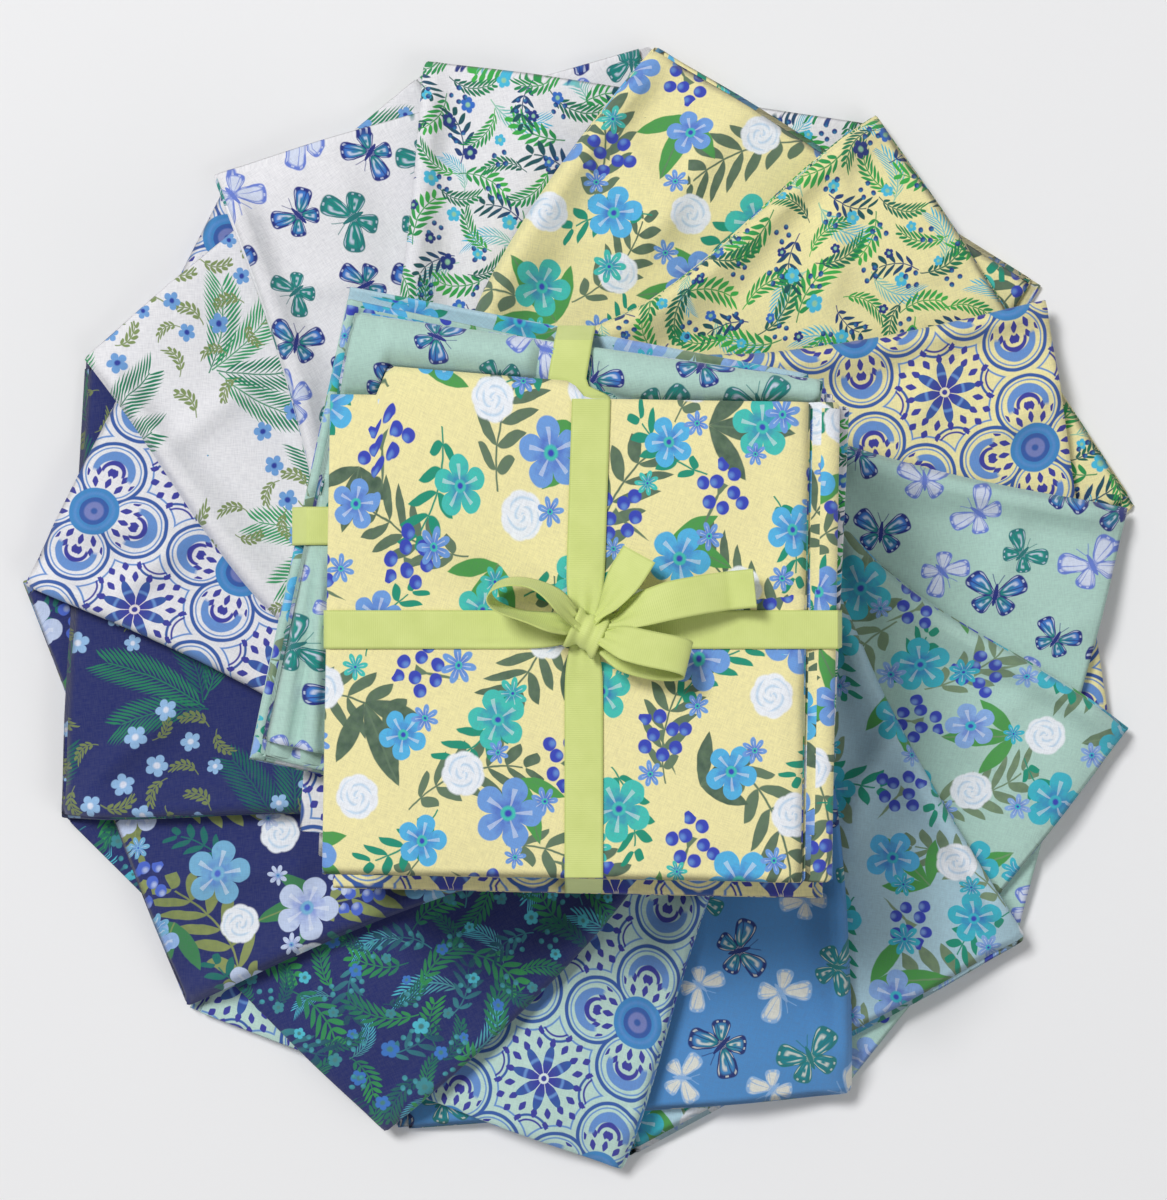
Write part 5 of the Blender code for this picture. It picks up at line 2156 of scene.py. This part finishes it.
@dataclass
class Bow:
    """The knot, the two loops and the two free ends."""

    stack: Stack
    loops: tuple[BowLoop, ...] = (
        #       node                 dir   length open near  far  rise swing
        BowLoop("ribbon_loop_left", 157.0, 31.0, 6.2, 50.0, 14.0, 0.6, -2.5),
        BowLoop("ribbon_loop_right", -15.0, 31.0, 5.4, 58.0, 66.0, 0.8, 1.5),
    )
    short_tail: tuple[TailPoint, ...] = (
        #         right  back rise lean width
        TailPoint(0.8, 1.6, 3.0, 15.0, 0.40),
        TailPoint(3.5, 5.5, 3.6, 24.0, 0.50),
        TailPoint(6.8, 9.6, 5.2, 44.0, 0.80),
        TailPoint(11.0, 16.0, 5.4, 62.0, 1.0),
        TailPoint(15.6, 23.4, 4.4, 68.0, 1.0),
    )
    long_tail: tuple[TailPoint, ...] = (
        TailPoint(1.0, 0.6, 3.2, 10.0, 0.40),
        TailPoint(7.2, 2.8, 3.8, 24.0, 0.52),
        TailPoint(14.0, 6.2, 6.6, 58.0, 0.92),
        TailPoint(24.0, 9.4, 7.2, 80.0, 1.0),
        TailPoint(33.0, 11.2, 6.2, 88.0, 1.0),
        TailPoint(39.5, 12.2, 4.4, 90.0, 1.0),
        TailPoint(42.6, 12.6, 3.4, 90.0, 1.0),
        TailPoint(45.6, 12.9, 4.2, 90.0, 1.0),
        TailPoint(49.6, 13.3, 6.4, 90.0, 1.0),
    )
    middle: tuple[float, float] = (2.4 * MM, -7.5 * MM)
    knot_size: tuple[float, float] = (5.3 * MM, 3.3 * MM)
    knot_turn: float = math.radians(-24.0)
    knot_share: float = 0.86
    knot_steps: int = 48
    knot_flare: float = 0.75 * MM
    knot_pleat: float = 0.38 * MM
    knot_pleat_turn: float = 7.5
    knot_pleat_sway: float = 0.5
    knot_pleat_wave: float = 2.5 * MM
    dent: float = 1.3 * MM
    dent_share: float = -0.1
    dent_width: float = 0.35
    dent_reach: float = 5.0 * MM
    gathered: float = 0.40
    gathered_part: float = 0.42
    fullness: float = 0.6
    leaning_by: float = 1.4
    parting: float = 0.9 * MM
    loop_steps: int = 64
    tail_steps: int = 8
    half: float = 5.75 * MM

    def base(self) -> float:
        """Height of the cloth's top under the bow, with room for both lengths of ribbon."""
        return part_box("ribbon_knot")[0][2]

    def knot_middle(self) -> Vector:
        """Middle of the knot."""
        low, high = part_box("ribbon_knot")
        return Vector((*self.middle, (low[2] + high[2]) / 2.0))

    def knot(self) -> RibbonStrip:
        """The band round the knot.

        Returns:
            A closed strip that flares at its edges.
        """
        axis = Vector((math.cos(self.knot_turn), math.sin(self.knot_turn), 0.0))
        over = Vector((-axis.y, axis.x, 0.0))
        centres = []
        for step in range(self.knot_steps + 1):
            angle = math.tau * step / self.knot_steps
            out = over * (self.knot_size[0] * math.cos(angle))
            centres.append(self.knot_middle() + out + Vector((0.0, 0.0, self.knot_size[1] * math.sin(angle))))
        sides = [axis * self.knot_share] * len(centres)
        return RibbonStrip("ribbon_knot", centres, sides, Held.GATHERED, closed=True, relief=self.knot_relief)

    def knot_relief(self, centre: Vector, share: float) -> float:
        """Relief of the knot's face: flared edges, pleats along the band, and a dent at the front.

        Args:
            centre: Point of the band's middle line.
            share: Place across it, from -1 to 1.

        Returns:
            The offset of the face.
        """
        offset = centre - self.knot_middle()
        sway = self.knot_pleat_sway * math.sin(offset.z / self.knot_pleat_wave)
        pleats = self.knot_pleat * math.cos(self.knot_pleat_turn * share + sway)
        dent = self.dent * math.exp(-((share - self.dent_share) / self.dent_width) ** 2)
        return self.knot_flare * share ** 2 + pleats - dent * smooth(-offset.y / self.dent_reach)

    def loop(self, shape: BowLoop) -> RibbonStrip:
        """One loop.

        Args:
            shape: Its sizes.

        Returns:
            A drop-shaped strip, gathered into the knot.
        """
        turn = math.radians(shape.direction)
        forward = Vector((math.cos(turn), math.sin(turn), 0.0))
        beside = Vector((math.sin(turn), -math.cos(turn), 0.0))
        if shape.direction > 90.0:
            beside = -beside
        up = Vector((0.0, 0.0, 1.0))
        knot = self.knot_middle()
        centres, sides = [], []
        for step in range(self.loop_steps + 1):
            angle = math.tau * step / self.loop_steps
            out = (1.0 - math.cos(angle)) / 2.0
            away = smooth(out / self.gathered_part)
            over = smooth(self.leaning_by * out)
            lean = math.radians(shape.near_lean + (shape.far_lean - shape.near_lean) * over)
            side = up * math.cos(lean) + beside * math.sin(lean)
            open_way = side.cross(forward).normalized()
            low = self.half * math.cos(lean) + shape.opening * MM * abs(open_way.z)
            raised = self.base() + low + shape.rise * MM
            wide = shape.opening * MM * math.sin(angle) * out ** self.fullness
            swing = shape.swing * MM * math.sin(math.pi * out)
            centres.append(knot + forward * (shape.length * MM * out) + up * ((raised - knot.z) * away)
                           + open_way * (wide + self.parting * math.cos(angle / 2.0)) + beside * swing)
            sides.append(side * (self.gathered + (1.0 - self.gathered) * away))
        return RibbonStrip(shape.node, centres, sides, Held.GATHERED)

    def tail(self, node: str, points: Sequence[TailPoint]) -> RibbonStrip:
        """One free end.

        Args:
            node: The node that it stands for.
            points: The points that it runs through, from the knot.

        Returns:
            A strip that leans from its edge over to flat.
        """
        origin = Vector((*self.middle, self.base()))
        through = [origin + Vector((point.right, point.back, point.rise)) * MM for point in points]
        sides = []
        for number, point in enumerate(points):
            before = through[max(0, number - 1)]
            forward = through[min(len(through) - 1, number + 1)] - before
            level = forward.cross(Vector((0.0, 0.0, 1.0))).normalized()
            upright = level.cross(forward).normalized()
            lean = math.radians(point.lean)
            sides.append((level * math.sin(lean) + upright * math.cos(lean)) * point.width)
        return RibbonStrip(node, curve_through(through, self.tail_steps),
                           curve_through(sides, self.tail_steps), Held.GATHERED)

    def build(self) -> list[bpy.types.Object]:
        """Build the bow.

        Returns:
            The loops, the free ends and the knot.
        """
        strips = [self.loop(shape) for shape in self.loops]
        strips.append(self.tail("ribbon_tail_short", self.short_tail))
        strips.append(self.tail("ribbon_tail_long", self.long_tail))
        strips.append(self.knot())
        return [strip.build() for strip in strips]


# ---- room


@dataclass(frozen=True)
class SoftLight:
    """A square light that faces the bundle: its place and its side in metres, and its power in watts."""

    name: str
    place: tuple[float, float, float]
    side: float
    power: float

    def build(self) -> None:
        """Put up the light."""
        lamp = bpy.data.lights.new(self.name, "AREA")
        lamp.size = self.side
        lamp.energy = self.power
        piece = added(self.name, lamp)
        piece.location = self.place
        piece.rotation_euler = (-Vector(self.place)).to_track_quat("-Z", "Y").to_euler()


@dataclass
class Studio:
    """Pale floor, soft lights and a camera above."""

    height: float = 1.02
    image_width: float = 381.6 * MM
    surface: float = 8.0 * MM
    aim: tuple[float, float] = (1.5 * MM, 2.3 * MM)
    sensor: float = 36.0
    floor_half: float = 2.5
    floor_drop: float = 0.1 * MM
    floor_colour: Colour = (0.86, 0.86, 0.87, 1.0)
    floor_roughness: float = 0.9
    room_light: float = 0.26
    lights: tuple[SoftLight, ...] = (SoftLight("key_light", (-1.3, 1.3, 2.9), 0.9, 84.0),
                                     SoftLight("fill_light", (1.6, -1.2, 1.8), 1.6, 13.0))

    def floor(self) -> None:
        """Lay the pale floor."""
        sheet = bmesh.new()
        bmesh.ops.create_grid(sheet, x_segments=1, y_segments=1, size=self.floor_half)
        mesh = bpy.data.meshes.new("floor")
        sheet.to_mesh(mesh)
        sheet.free()
        paint = Paint("pale_floor")
        shader = paint.node("BsdfPrincipled", None, {"Base Color": self.floor_colour,
                                                     "Roughness": self.floor_roughness})
        paint.node("OutputMaterial", None, {"Surface": shader.outputs[0]})
        mesh.materials.append(paint.material)
        piece = added("floor", mesh)
        piece.location.z = -self.floor_drop
        piece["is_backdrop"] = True

    def camera(self) -> None:
        """The camera, straight above."""
        lens = bpy.data.cameras.new("camera")
        lens.sensor_fit = "HORIZONTAL"
        lens.sensor_width = self.sensor
        lens.lens = self.sensor * (self.height - self.surface) / self.image_width
        piece = added("camera", lens)
        piece.location = (*self.aim, self.height)
        bpy.context.scene.camera = piece

    def build(self) -> None:
        """Set up the room."""
        self.floor()
        self.camera()
        for light in self.lights:
            light.build()
        bpy.context.scene.view_settings.view_transform = "Standard"
        world = bpy.data.worlds.new("studio")
        bpy.context.scene.world = world
        world.use_nodes = True
        background = world.node_tree.nodes["Background"]
        background.inputs[0].default_value = (1.0, 1.0, 1.0, 1.0)
        background.inputs[1].default_value = self.room_light


def main() -> None:
    """Build the bundle and its room."""
    logging.basicConfig(level=logging.INFO, format="%(message)s")
    Studio().build()
    stack = Stack()
    for part in (Fan(), stack, TiedRibbon(stack), Bow(stack)):
        for piece in part.build():
            LOG.info("%s: %d faces", piece.name, len(piece.data.polygons))
    box = [[list(map(float, corner)) for corner in found] for found in (FRAME_BOX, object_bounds())]


if __name__ == "__main__":
    main()
